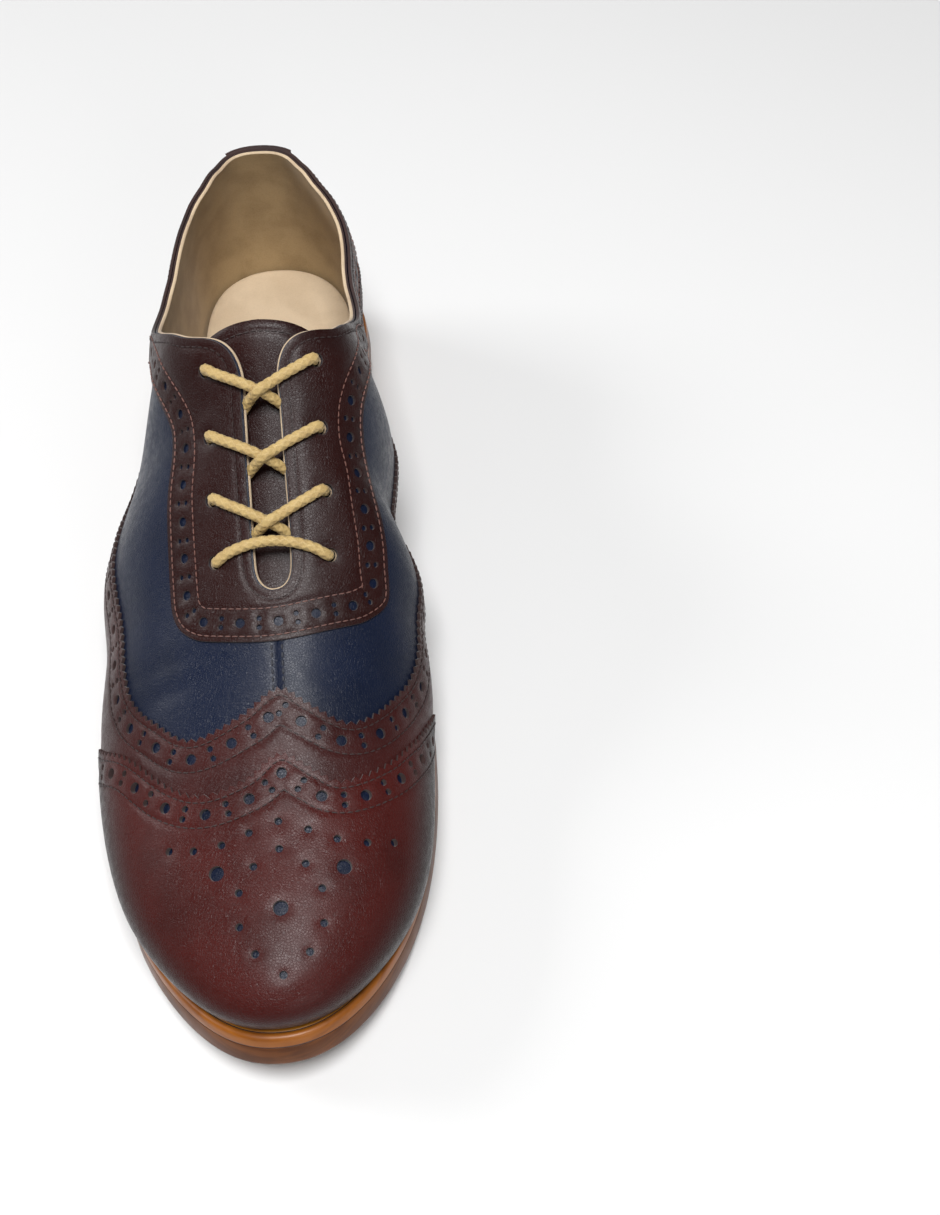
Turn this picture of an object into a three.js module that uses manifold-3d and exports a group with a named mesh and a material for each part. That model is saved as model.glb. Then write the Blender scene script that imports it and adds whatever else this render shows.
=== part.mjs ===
// A laced wing tip shoe for the right foot: a hollow leather upper on a two-layer sole with a low heel.
// Lengths are in millimetres. +Z is up, the toe points to -Y and the inner side of the foot is +X.

import * as THREE from "three";
import { mergeVertices } from "three/addons/utils/BufferGeometryUtils.js";
import Module from "manifold-3d";

const wasm = await Module();
wasm.setup();

// Driving sizes of the last and the sole
const SHOE_LENGTH = 292;
const BALL_WIDTH = 98;
const CROWN_HEIGHT = 104;
const COLLAR_HEIGHT = 58;
const HEEL_SEAT = 24;
const TOE_SPRING = 14.5;
const LEDGE_WIDTH = 4;

// Thicknesses
const UPPER_WALL = 2.0;
const WELT_THICKNESS = 3.6;
const OUTSOLE_THICKNESS = 6.1;
const TOP_PIECE_THICKNESS = 6.0;
const INSOLE_THICKNESS = 3.0;
const TONGUE_THICKNESS = 1.8;
const PANEL_THICKNESS = 1.0;
const TOE_CAP_THICKNESS = 1.6;
const LACE_DIAMETER = 2.8;

// Clearances
const FIT_GAP = 0.3;
const PANEL_GAP = 0.6;
const INSOLE_GAP = 0.8;
const LACE_ROOM = 3.2;

// Shape of the sole's edge and of the heel
const WALL_FLARE = 1.0;
const EDGE_ROUND = 1.0;
const EDGE_BREAK = 0.5;
const HEEL_INSET = 0.4;
const HEEL_TAPER = 1.6;

// Foot of the upper: its tuck under the belly, and the least distance to the sole's edge
const TUCK = 2.0;
const FOOT_INSET = 1.5;

// Stations along the shoe, from 0 at the heel to 1 at the toe
const HEEL_BREAST = 0.245;
const SEAT_END = 0.25;
const TREAD_START = 0.62;
const SPRING_START = 0.68;
const SPRING_POWER = 2.7;
const HEEL_ROUND = 0.128;
const HEEL_ROUND_POWER = 2.17;
const TOE_ROUND = 0.3;
const TOE_ROUND_POWER = 2.15;

// Spine from which the sections fan out
const SPINE_START = 0.14;
const SPINE_END = 0.86;
const SPINE_EASE = 0.05;
const SWING_START = 0.45;
const TOE_SWING = 0.022;

// Lacing: stations, and distances over the skin from the crown line
const EYELET_FIRST = 0.406;
const EYELET_PITCH = 0.055;
const EYELET_ROWS = 4;
const EYELET_ACROSS = 17;
const SLOT_HALF_WIDTH = 5.6;
const SLOT_TOP = 0.415;
const SLOT_END = 0.585;
const COLLAR_FRONT = 0.385;
const MOUTH_CORNER_ACROSS = 10;
const MOUTH_CORNER = 0.391;

// Lace stay and the band round the collar
const STAY_SETBACK = 0.6;
const BAND_WIDTH = 16;
const BAND_END = 0.34;

// Strap over the top of the heel
const HEEL_TAB_LENGTH = 28;

// Edge of the sole: half widths as shares of the ball width
const OUTLINE = [
  { at: 0.0, outer: 0.33, inner: 0.33 },
  { at: 0.1, outer: 0.317, inner: 0.334 },
  { at: 0.22, outer: 0.346, inner: 0.335 },
  { at: 0.34, outer: 0.355, inner: 0.262 },
  { at: 0.46, outer: 0.445, inner: 0.25 },
  { at: 0.57, outer: 0.49, inner: 0.43 },
  { at: 0.67, outer: 0.515, inner: 0.495 },
  { at: 0.76, outer: 0.51, inner: 0.49 },
  { at: 0.86, outer: 0.505, inner: 0.482 },
  { at: 1.0, outer: 0.44, inner: 0.45 },
];

// Ledge of the welt outside the upper's belly, as shares of the ledge width; negative where the
// upper leans out past the sole's edge
const LEDGE = [
  { at: 0.0, outer: 0.5, inner: 0.5 },
  { at: 0.2, outer: 0.4, inner: 0.6 },
  { at: 0.3, outer: -0.3, inner: -1.5 },
  { at: 0.4, outer: -0.7, inner: -4.0 },
  { at: 0.5, outer: -1.6, inner: -3.2 },
  { at: 0.6, outer: -0.4, inner: -0.4 },
  { at: 0.72, outer: 0.0, inner: 0.6 },
  { at: 0.86, outer: 0.5, inner: 0.2 },
  { at: 1.0, outer: 1.0, inner: 1.0 },
];

// Height of the belly over the sole
const BELLY = [
  { at: 0.0, outer: 19, inner: 19 },
  { at: 0.3, outer: 19, inner: 28 },
  { at: 0.42, outer: 16, inner: 29 },
  { at: 0.54, outer: 13, inner: 26 },
  { at: 0.7, outer: 12, inner: 12 },
  { at: 0.86, outer: 10.6, inner: 10.6 },
  { at: 1.0, outer: 8.5, inner: 8.5 },
];

// Crown line of the closed form: rise over the sole as a share of the crown height, and shift
// towards the inner side as a share of the ball width
const CROWN = [
  { at: 0.0, rise: 1.0, shift: 0 },
  { at: 0.05, rise: 0.998, shift: 0 },
  { at: 0.14, rise: 0.97, shift: 0 },
  { at: 0.25, rise: 0.927, shift: 0.022 },
  { at: 0.36, rise: 0.868, shift: 0.045 },
  { at: 0.44, rise: 0.755, shift: 0.049 },
  { at: 0.52, rise: 0.653, shift: 0.053 },
  { at: 0.6, rise: 0.554, shift: 0.056 },
  { at: 0.7, rise: 0.44, shift: 0.056 },
  { at: 0.8, rise: 0.346, shift: 0.056 },
  { at: 0.9, rise: 0.26, shift: 0.056 },
  { at: 1.0, rise: 0.17, shift: 0.056 },
];

// Fullness of each section from belly to crown, across and up, where 2 is an ellipse
const FULLNESS = [
  { at: 0.0, outerAcross: 2.1, outerUp: 2.1, innerAcross: 2.1, innerUp: 2.1 },
  { at: 0.02, outerAcross: 1.6, outerUp: 1.6, innerAcross: 1.6, innerUp: 1.6 },
  { at: 0.05, outerAcross: 1.42, outerUp: 1.43, innerAcross: 1.42, innerUp: 1.43 },
  { at: 0.09, outerAcross: 1.54, outerUp: 1.55, innerAcross: 1.54, innerUp: 1.55 },
  { at: 0.15, outerAcross: 1.95, outerUp: 1.95, innerAcross: 1.95, innerUp: 1.95 },
  { at: 0.25, outerAcross: 2.25, outerUp: 2.1, innerAcross: 2.25, innerUp: 2.05 },
  { at: 0.36, outerAcross: 2.2, outerUp: 1.85, innerAcross: 2.55, innerUp: 1.95 },
  { at: 0.44, outerAcross: 1.75, outerUp: 1.45, innerAcross: 2.65, innerUp: 2.35 },
  { at: 0.52, outerAcross: 1.85, outerUp: 1.62, innerAcross: 2.75, innerUp: 2.25 },
  { at: 0.6, outerAcross: 2.0, outerUp: 1.7, innerAcross: 2.3, innerUp: 1.9 },
  { at: 0.7, outerAcross: 2.1, outerUp: 1.75, innerAcross: 2.1, innerUp: 1.75 },
  { at: 0.8, outerAcross: 2.2, outerUp: 1.9, innerAcross: 2.2, innerUp: 1.9 },
  { at: 0.9, outerAcross: 2.4, outerUp: 2.1, innerAcross: 2.4, innerUp: 2.1 },
  { at: 1.0, outerAcross: 2.4, outerUp: 2.1, innerAcross: 2.4, innerUp: 2.1 },
];

// Top line of the collar over the sole, as shares of the collar height
const TOP_LINE = [
  { at: 0.0, rise: 1.0 },
  { at: 0.06, rise: 0.97 },
  { at: 0.15, rise: 0.85 },
  { at: 0.22, rise: 0.82 },
  { at: 0.27, rise: 0.9 },
  { at: 0.32, rise: 1.12 },
  { at: 0.35, rise: 1.29 },
  { at: 0.37, rise: 1.38 },
  { at: 0.4, rise: 1.43 },
];

// Rear edge of the toe cap: up is 0 at the belly and 1 on the crown line
const CAP_EDGE_OUTER = [
  { at: 0.685, up: -0.4 },
  { at: 0.685, up: 0.0 },
  { at: 0.705, up: 0.22 },
  { at: 0.73, up: 0.43 },
  { at: 0.775, up: 0.63 },
  { at: 0.79, up: 0.76 },
  { at: 0.78, up: 0.9 },
];
const CAP_EDGE_INNER = [
  { at: 0.757, up: 1.0 },
  { at: 0.775, up: 0.86 },
  { at: 0.783, up: 0.75 },
  { at: 0.76, up: 0.54 },
  { at: 0.725, up: 0.34 },
  { at: 0.668, up: 0.0 },
  { at: 0.66, up: -0.4 },
];

// Top edge of the wing panel, from the heel along the outer side, over the vamp and back
const WING_EDGE_OUTER = [
  { at: 0.0, up: 0.06 },
  { at: 0.05, up: 0.08 },
  { at: 0.1, up: 0.09 },
  { at: 0.25, up: 0.07 },
  { at: 0.37, up: 0.13 },
  { at: 0.463, up: 0.24 },
  { at: 0.575, up: 0.34 },
  { at: 0.665, up: 0.43 },
  { at: 0.709, up: 0.59 },
  { at: 0.731, up: 0.72 },
  { at: 0.716, up: 0.88 },
];
const WING_EDGE_INNER = [
  { at: 0.692, up: 1.0 },
  { at: 0.708, up: 0.87 },
  { at: 0.722, up: 0.7 },
  { at: 0.697, up: 0.51 },
  { at: 0.644, up: 0.29 },
  { at: 0.56, up: 0.12 },
  { at: 0.44, up: 0.02 },
  { at: 0.25, up: -0.01 },
  { at: 0.1, up: 0.07 },
  { at: 0.05, up: 0.08 },
  { at: 0.0, up: 0.06 },
];

// Outer edge of the lace stay, as distances over the skin from the crown line
const STAY_EDGE = [
  { at: 0.43, across: 33 },
  { at: 0.5, across: 32.5 },
  { at: 0.58, across: 32 },
  { at: 0.612, across: 30.5 },
  { at: 0.632, across: 26 },
  { at: 0.643, across: 18 },
];
const STAY_FRONT = 0.649;

// Outline of the tongue, as distances over the skin from the crown line
const TONGUE_OUTLINE = [
  { at: 0.368, across: 16 },
  { at: 0.38, across: 24 },
  { at: 0.42, across: 26 },
  { at: 0.5, across: 24 },
  { at: 0.6, across: 19 },
  { at: 0.645, across: 16 },
];
const TONGUE_TOP = 0.363;
const TONGUE_TIP = 0.65;

// Half width of the heel strap, from above the collar (0) to its lower end (1)
const HEEL_TAB_EDGE = [
  { along: 0.0, half: 7.8 },
  { along: 0.4, half: 8.3 },
  { along: 0.75, half: 9.3 },
  { along: 1.0, half: 9.0 },
];

const OUTER = -1;
const INNER = 1;
const SIDES = [OUTER, INNER];
const sideName = (side) => (side === OUTER ? "outer" : "inner");
const { clamp, lerp, smoothstep } = THREE.MathUtils;

// Monotone curve through a column of a table
function follow(table, column) {
  const last = table.length - 1;
  const slopes = table.slice(1).map((row, i) => (row[column] - table[i][column]) / (row.at - table[i].at));
  const tangents = table.map((_, i) => {
    if (i === 0) return slopes[0];
    if (i === last) return slopes[last - 1];
    const product = slopes[i - 1] * slopes[i];
    return product <= 0 ? 0 : (2 * product) / (slopes[i - 1] + slopes[i]);
  });
  return (at) => {
    const place = clamp(at, table[0].at, table[last].at);
    let i = 0;
    while (i < last - 1 && place > table[i + 1].at) i += 1;
    const span = table[i + 1].at - table[i].at;
    const t = (place - table[i].at) / span;
    const rest = 1 - t;
    return (
      table[i][column] * rest * rest * (1 + 2 * t) +
      table[i + 1][column] * t * t * (3 - 2 * t) +
      span * t * rest * (tangents[i] * rest - tangents[i + 1] * t)
    );
  };
}

const bothSides = (table) => ({ outer: follow(table, "outer"), inner: follow(table, "inner") });
const outline = bothSides(OUTLINE);
const ledge = bothSides(LEDGE);
const belly = bothSides(BELLY);
const across = { outer: follow(FULLNESS, "outerAcross"), inner: follow(FULLNESS, "innerAcross") };
const upward = { outer: follow(FULLNESS, "outerUp"), inner: follow(FULLNESS, "innerUp") };
const crownRise = follow(CROWN, "rise");
const crownShift = follow(CROWN, "shift");
const topLine = follow(TOP_LINE, "rise");

const SOLE_THICKNESS = WELT_THICKNESS + FIT_GAP + OUTSOLE_THICKNESS;

// Round end of the outline: 1 away from the end, 0 at it
function roundEnd(distance, length, power) {
  const t = clamp(1 - distance / length, 0, 1);
  return (1 - t ** power) ** (1 / power);
}

// Half width of the sole on one side
function halfWidth(at, side) {
  const heel = roundEnd(at, HEEL_ROUND, HEEL_ROUND_POWER);
  const toe = roundEnd(1 - at, TOE_ROUND, TOE_ROUND_POWER);
  return BALL_WIDTH * outline[sideName(side)](at) * heel * toe;
}

// Sideways swing of the sole's middle line towards the inner side of the toe
function swing(at) {
  return BALL_WIDTH * TOE_SWING * clamp((at - SWING_START) / (1 - SWING_START), 0, 1) ** 2;
}

// Height of the sole's top face over the floor
function seat(at) {
  const spring = TOE_SPRING * clamp((at - SPRING_START) / (1 - SPRING_START), 0, 1) ** SPRING_POWER;
  const pitch = 1 - smoothstep(at, SEAT_END, TREAD_START);
  return lerp(SOLE_THICKNESS + spring, HEEL_SEAT, pitch);
}

// Slope of the sole towards the toe, as an angle
const SLOPE_STEP = 1e-3;
function seatAngle(at) {
  const low = clamp(at - SLOPE_STEP, 0, 1);
  const high = clamp(at + SLOPE_STEP, 0, 1);
  return Math.atan2(seat(high) - seat(low), (high - low) * SHOE_LENGTH);
}

// Station of the spine from which the section of an outline station fans out
function spineStation(at) {
  const ease = (x) => SPINE_EASE * Math.log1p(Math.exp(x / SPINE_EASE));
  return SPINE_START + ease(at - SPINE_START) - ease(at - SPINE_END);
}

const alongY = (at) => SHOE_LENGTH * (0.5 - at);
const stationOf = (y) => 0.5 - y / SHOE_LENGTH;
const crownX = (at) => swing(at) + BALL_WIDTH * crownShift(at);

// The section that fans out from the spine to one outline station
function section(at, side) {
  const from = spineStation(at);
  const foot = new THREE.Vector2(crownX(from), alongY(from));
  const edge = new THREE.Vector2(swing(at) + side * halfWidth(at, side), alongY(at));
  const ray = edge.clone().sub(foot);
  const reach = ray.length();
  return { at, side, foot, edge, reach, ray: ray.divideScalar(reach) };
}

// Point of a section at a distance from its foot
function onSection(cut, distance) {
  return cut.foot.clone().addScaledVector(cut.ray, distance);
}

const bellyReach = (cut) => cut.reach - LEDGE_WIDTH * ledge[sideName(cut.side)](cut.at);
const footReach = (cut) => Math.min(bellyReach(cut) - TUCK, cut.reach - FOOT_INSET);

// Skin of the closed form: share is 0 on the crown line, 1 at the belly, SKIRT at the sole
const SKIRT = 1.25;
const skirtFall = (share) => Math.max((share - 1) / (SKIRT - 1), 0);
function skin(cut, share) {
  const name = sideName(cut.side);
  const reach = bellyReach(cut);
  const bellyPoint = onSection(cut, reach);
  const bellyZ = seat(stationOf(bellyPoint.y)) + belly[name](cut.at);
  if (share > 1) {
    const fall = skirtFall(share);
    const plan = onSection(cut, lerp(reach, footReach(cut), fall * fall));
    const soleZ = seat(stationOf(plan.y)) + FIT_GAP;
    return new THREE.Vector3(plan.x, plan.y, lerp(bellyZ, soleZ, fall));
  }
  const turn = ((1 - share) * Math.PI) / 2;
  const plan = onSection(cut, reach * Math.cos(turn) ** (2 / across[name](cut.at)));
  const station = stationOf(plan.y);
  const crownZ = seat(station) + CROWN_HEIGHT * crownRise(station);
  const up = Math.sin(turn) ** (2 / upward[name](cut.at));
  return new THREE.Vector3(plan.x, plan.y, lerp(bellyZ, crownZ, up));
}

// The flat pattern: every section laid out straight, its share times the sole's reach from the spine
function toPattern(cut, share) {
  return onSection(cut, cut.reach * share);
}

// Sections of each side, close together, to search among
const FAN_STEPS = 256;
const fan = SIDES.map((side) => Array.from({ length: FAN_STEPS + 1 }, (_, i) => section(i / FAN_STEPS, side)));

// Side of the crown line on which a pattern point lies
const REAR = fan[0][0];
const FRONT = fan[0][FAN_STEPS];
function sideOf(point) {
  const station = clamp(stationOf(point.y), 0, 1);
  let line = crownX(station);
  for (const end of [REAR, FRONT]) {
    const past = (point.y - end.foot.y) / (end.edge.y - end.foot.y);
    if (past > 0) line = lerp(end.foot.x, end.edge.x, past);
  }
  return point.x < line ? OUTER : INNER;
}

// The section and share of a pattern point
const SEARCH_STEPS = 16;
function fromPattern(point) {
  const side = sideOf(point);
  const cuts = fan[SIDES.indexOf(side)];
  const isBefore = (cut) => cut.ray.cross(point.clone().sub(cut.foot)) * side < 0;
  let first = 0;
  let last = FAN_STEPS;
  while (last - first > 1) {
    const middle = (first + last) >> 1;
    if (isBefore(cuts[middle])) first = middle;
    else last = middle;
  }
  let low = cuts[first].at;
  let high = cuts[last].at;
  for (let i = 0; i < SEARCH_STEPS; i += 1) {
    const middle = (low + high) / 2;
    if (isBefore(section(middle, side))) low = middle;
    else high = middle;
  }
  const cut = section((low + high) / 2, side);
  return { cut, share: point.distanceTo(cut.foot) / cut.reach };
}

function skinAt(point) {
  const { cut, share } = fromPattern(point);
  return skin(cut, share);
}

// Outward normal of the skin at a pattern point, level at the foot of the upper
const NORMAL_STEP = 0.6;
function normalAt(point) {
  const shifted = (dx, dy) => skinAt(new THREE.Vector2(point.x + dx, point.y + dy));
  const acrossX = shifted(NORMAL_STEP, 0).sub(shifted(-NORMAL_STEP, 0));
  const acrossY = shifted(0, NORMAL_STEP).sub(shifted(0, -NORMAL_STEP));
  const normal = acrossX.cross(acrossY).normalize();
  const fall = clamp(skirtFall(fromPattern(point).share), 0, 1);
  normal.z *= 1 - fall;
  return normal.normalize();
}

// Point at a height off the skin, square to it; the foot keeps its height over the sole
function offSkin(point, height) {
  const { cut, share } = fromPattern(point);
  const start = skin(cut, share);
  const placed = start.clone().addScaledVector(normalAt(point), height);
  const fall = clamp(skirtFall(share), 0, 1);
  placed.z += fall * (seat(stationOf(placed.y)) - seat(stationOf(start.y)));
  return placed;
}

// Point at a height off the skin, straight up
const LEAST_TILT = 0.6;
function overSkin(point, height) {
  const placed = skinAt(point);
  placed.z += height / Math.max(normalAt(point).z, LEAST_TILT);
  return placed;
}

// Solids from closed geometries and back
const WELD = 1e-4;
function toSolid(geometry) {
  const bare = new THREE.BufferGeometry();
  bare.setAttribute("position", geometry.getAttribute("position"));
  if (geometry.getIndex()) bare.setIndex(geometry.getIndex());
  const merged = mergeVertices(bare, WELD);
  const vertProperties = new Float32Array(merged.getAttribute("position").array);
  const triVerts = new Uint32Array(merged.getIndex().array);
  return new wasm.Manifold(new wasm.Mesh({ numProp: 3, vertProperties, triVerts }));
}

function toGeometry(solid) {
  const mesh = solid.getMesh();
  const geometry = new THREE.BufferGeometry();
  geometry.setAttribute("position", new THREE.BufferAttribute(new Float32Array(mesh.vertProperties), 3));
  geometry.setIndex(new THREE.BufferAttribute(new Uint32Array(mesh.triVerts), 1));
  return geometry;
}

// Collects faces between rows of points into one closed geometry
class FaceList {
  constructor() {
    this.corners = [];
  }

  triangle(a, b, c) {
    if (Math.min(a.distanceTo(b), b.distanceTo(c), c.distanceTo(a)) < WELD) return;
    this.corners.push(a, b, c);
  }

  quad(a, b, c, d) {
    this.triangle(a, b, c);
    this.triangle(a, c, d);
  }

  // Strip between two rows, seen from outside with the first row below
  strip(lower, upper) {
    for (let i = 0; i < lower.length - 1; i += 1) {
      this.quad(lower[i], lower[i + 1], upper[i + 1], upper[i]);
    }
  }

  // The same strip with its quads split along their other diagonals
  crossStrip(lower, upper) {
    for (let i = 0; i < lower.length - 1; i += 1) {
      this.quad(lower[i + 1], upper[i + 1], upper[i], lower[i]);
    }
  }

  geometry() {
    return mergeVertices(new THREE.BufferGeometry().setFromPoints(this.corners), WELD);
  }
}

// Stations set close together round both ends of a span
function roundStations(count, end = 1) {
  const turn = end < 1 ? Math.PI / 2 : Math.PI;
  const scale = end < 1 ? end : 0.5;
  return Array.from({ length: count + 1 }, (_, i) => scale * (1 - Math.cos((turn * i) / count)));
}

// Sheet of leather in the flat pattern, between two heights off the skin
const SKIN_STATIONS = 40;
const CROWN_ROWS = 12;
const SKIRT_ROWS = 3;
function patternSheet(low, high) {
  const faces = new FaceList();
  const shares = [];
  for (let i = 0; i <= CROWN_ROWS; i += 1) shares.push(i / CROWN_ROWS);
  for (let i = 1; i <= SKIRT_ROWS; i += 1) shares.push(lerp(1, SKIRT, i / SKIRT_ROWS));
  const stations = roundStations(SKIN_STATIONS);
  for (const side of SIDES) {
    const cuts = stations.map((at) => section(at, side));
    const row = (share, height) =>
      cuts.map((cut) => {
        const plan = toPattern(cut, share);
        return new THREE.Vector3(plan.x, plan.y, height);
      });
    const order = (a, b) => (side === OUTER ? [a, b] : [b, a]);
    for (let i = 0; i < shares.length - 1; i += 1) {
      faces.strip(...order(row(shares[i + 1], high), row(shares[i], high)));
      faces.crossStrip(...order(row(shares[i], low), row(shares[i + 1], low)));
    }
    faces.strip(...order(row(SKIRT, low), row(SKIRT, high)));
  }
  return toSolid(faces.geometry());
}

// Straight-sided cutter over an outline in the flat pattern
const CUTTER_DEPTH = 40;
function patternCutter(points) {
  const depth = 2 * CUTTER_DEPTH;
  const geometry = new THREE.ExtrudeGeometry(new THREE.Shape(points), { depth, bevelEnabled: false });
  geometry.translate(0, 0, -CUTTER_DEPTH);
  return toSolid(geometry);
}

// Bends a solid in the flat pattern onto the last
function lastSolid(solid, place = offSkin) {
  const geometry = toGeometry(solid);
  const position = geometry.getAttribute("position");
  const point = new THREE.Vector2();
  for (let i = 0; i < position.count; i += 1) {
    point.set(position.getX(i), position.getY(i));
    const placed = place(point, position.getZ(i));
    position.setXYZ(i, placed.x, placed.y, placed.z);
  }
  return geometry;
}

// Smooth line through points, in short even steps
const LINE_STEP = 4;
function smoothLine(points) {
  const curve = new THREE.SplineCurve(points);
  return curve.getSpacedPoints(Math.ceil(curve.getLength() / LINE_STEP));
}

// Smooth pattern line through the rows of an outer and an inner edge table, moved towards the heel
// by a setback
const SECTION_GIRTH = 90;
function edgeLine(outerRows, innerRows, setback = 0) {
  const unrolled = (side) => (row) => {
    const away = side * (1 - row.up) * SECTION_GIRTH;
    return new THREE.Vector2(Math.max(row.at * SHOE_LENGTH - setback, 0), away);
  };
  const line = smoothLine([...outerRows.map(unrolled(OUTER)), ...innerRows.map(unrolled(INNER))]);
  return line.map(({ x, y }) => {
    const at = clamp(x / SHOE_LENGTH, 0, 1);
    return toPattern(section(at, y < 0 ? OUTER : INNER), Math.abs(y) / SECTION_GIRTH);
  });
}

// Pattern point of a section at a height over the sole
const HEIGHT_STEPS = 30;
function pointAtRise(cut, rise) {
  let low = 0;
  let high = 1;
  for (let i = 0; i < HEIGHT_STEPS; i += 1) {
    const middle = (low + high) / 2;
    const placed = skin(cut, middle);
    if (placed.z - seat(stationOf(placed.y)) > rise) low = middle;
    else high = middle;
  }
  return toPattern(cut, (low + high) / 2);
}

// Pattern point of a section at a distance along the skin from the crown line
const WALK_STEPS = 120;
function pointAcross(at, side, distance) {
  const cut = section(at, side);
  let previous = skin(cut, 0);
  let walked = 0;
  for (let i = 1; i <= WALK_STEPS; i += 1) {
    const next = skin(cut, i / WALK_STEPS);
    const step = next.distanceTo(previous);
    if (walked + step >= distance) return toPattern(cut, (i - 1 + (distance - walked) / step) / WALK_STEPS);
    walked += step;
    previous = next;
  }
  return toPattern(cut, 1);
}

// Edge of the collar on one side, from the heel to the top of the lace stay
const COLLAR_STEPS = 22;
function collarEdge(side, drop = 0, end = COLLAR_FRONT) {
  return roundStations(COLLAR_STEPS, end).map((at) =>
    pointAtRise(section(at, side), COLLAR_HEIGHT * topLine(at) - drop),
  );
}

// Edge of the slot between the two halves of the lace stay, down to its round end
const SLOT_ROWS = 6;
const SLOT_ARC = 5;
const LINE_OVERLAP = 1e-3;
function slotEdge(side, extra = 0) {
  const points = [pointAcross(MOUTH_CORNER, side, MOUTH_CORNER_ACROSS + extra)];
  for (let i = 0; i <= SLOT_ROWS; i += 1) {
    points.push(pointAcross(lerp(SLOT_TOP, SLOT_END, i / SLOT_ROWS), side, SLOT_HALF_WIDTH + extra));
  }
  for (let i = 1; i <= SLOT_ARC; i += 1) {
    const turn = (Math.PI * i) / (2 * SLOT_ARC);
    const radius = SLOT_HALF_WIDTH + extra;
    const at = SLOT_END + (radius / SHOE_LENGTH) * Math.sin(turn);
    points.push(pointAcross(at, side, radius * Math.cos(turn) + LINE_OVERLAP));
  }
  return points;
}

// Cutter for the mouth of the shoe: the collar's opening and the slot
function mouthCutter(extra = 0) {
  const outerLine = [...collarEdge(OUTER, extra), ...slotEdge(OUTER, extra)];
  const innerLine = [...collarEdge(INNER, extra).slice(1), ...slotEdge(INNER, extra).slice(0, -1)];
  return patternCutter([...outerLine, ...innerLine.reverse()]);
}

// Cutter over the toe, forward of the cap's rear edge
const BEYOND = 1.6;
const TOE_FAN = 10;
function toeCutter(setback = 0) {
  const rear = edgeLine(CAP_EDGE_OUTER, CAP_EDGE_INNER, setback);
  const round = [];
  for (let i = 0; i <= TOE_FAN; i += 1) {
    round.push(toPattern(section(lerp(CAP_EDGE_INNER.at(-1).at, 1, i / TOE_FAN), INNER), BEYOND));
  }
  for (let i = 1; i <= TOE_FAN; i += 1) {
    round.push(toPattern(section(lerp(1, CAP_EDGE_OUTER[0].at, i / TOE_FAN), OUTER), BEYOND));
  }
  return patternCutter([...rear, ...round]);
}

// Cutter over everything above the wing panel's top edge
function aboveWingCutter() {
  return patternCutter(edgeLine(WING_EDGE_OUTER, WING_EDGE_INNER).slice(0, -1));
}

// Cutter over the lace stay and the band round the collar
function stayCutter() {
  const stayEdge = (side) => [
    ...collarEdge(side, BAND_WIDTH, BAND_END),
    ...STAY_EDGE.map((row) => pointAcross(row.at, side, row.across)),
  ];
  const front = pointAcross(STAY_FRONT, OUTER, 0);
  const loop = smoothLine([...stayEdge(OUTER), front, ...stayEdge(INNER).reverse()]);
  return patternCutter(loop.slice(0, -1));
}

// Cutter over the strap at the top of the heel
function heelTabCutter() {
  const back = section(0, OUTER);
  const low = pointAtRise(back, COLLAR_HEIGHT - HEEL_TAB_LENGTH).y;
  const high = back.foot.y;
  const edge = (side) =>
    HEEL_TAB_EDGE.map((row) => new THREE.Vector2(side * row.half, lerp(high, low, row.along)));
  return patternCutter([...smoothLine(edge(OUTER)), ...smoothLine(edge(INNER)).reverse()]);
}

// Upper and the pieces laid over it
const panelLow = PANEL_GAP;
const panelHigh = panelLow + PANEL_THICKNESS;
const mouth = mouthCutter();
const setBackMouth = mouthCutter(STAY_SETBACK);
const panelSheet = patternSheet(panelLow, panelHigh);
const capSheet = patternSheet(panelLow, panelLow + TOE_CAP_THICKNESS);
const tabLow = panelHigh + 2 * FIT_GAP;
const tabSheet = patternSheet(tabLow, tabLow + PANEL_THICKNESS);

const upper = lastSolid(patternSheet(-UPPER_WALL, 0).subtract(mouth));
const toeCap = lastSolid(capSheet.intersect(toeCutter()));
const wingPanel = lastSolid(panelSheet.subtract(aboveWingCutter()).subtract(toeCutter(FIT_GAP)));
const laceStay = lastSolid(panelSheet.intersect(stayCutter()).subtract(setBackMouth));
const heelTab = lastSolid(tabSheet.intersect(heelTabCutter()).subtract(setBackMouth));

// Tongue under the slot, lower along the lacing than at its two ends
const tongueLine = smoothLine([
  pointAcross(TONGUE_TOP, OUTER, 0),
  ...TONGUE_OUTLINE.map((row) => pointAcross(row.at, OUTER, row.across)),
  pointAcross(TONGUE_TIP, OUTER, 0),
  ...TONGUE_OUTLINE.map((row) => pointAcross(row.at, INNER, row.across)).reverse(),
  pointAcross(TONGUE_TOP, OUTER, 0),
]);
function tonguePlace(point, height) {
  const room = LACE_ROOM * (1 - smoothstep(stationOf(point.y), SLOT_END, STAY_FRONT));
  return overSkin(point, height - Math.max(room, FIT_GAP));
}
const tongueSheet = patternSheet(-UPPER_WALL - TONGUE_THICKNESS, -UPPER_WALL);
const tongue = lastSolid(tongueSheet.intersect(patternCutter(tongueLine.slice(0, -1))), tonguePlace);

// Edge point of a sole layer at a depth square to the sole's top face
function soleEdge(cut, inset, depth) {
  const plan = onSection(cut, cut.reach - inset);
  const station = stationOf(plan.y);
  const angle = seatAngle(station);
  return new THREE.Vector3(plan.x, plan.y - depth * Math.sin(angle), seat(station) - depth * Math.cos(angle));
}

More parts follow.
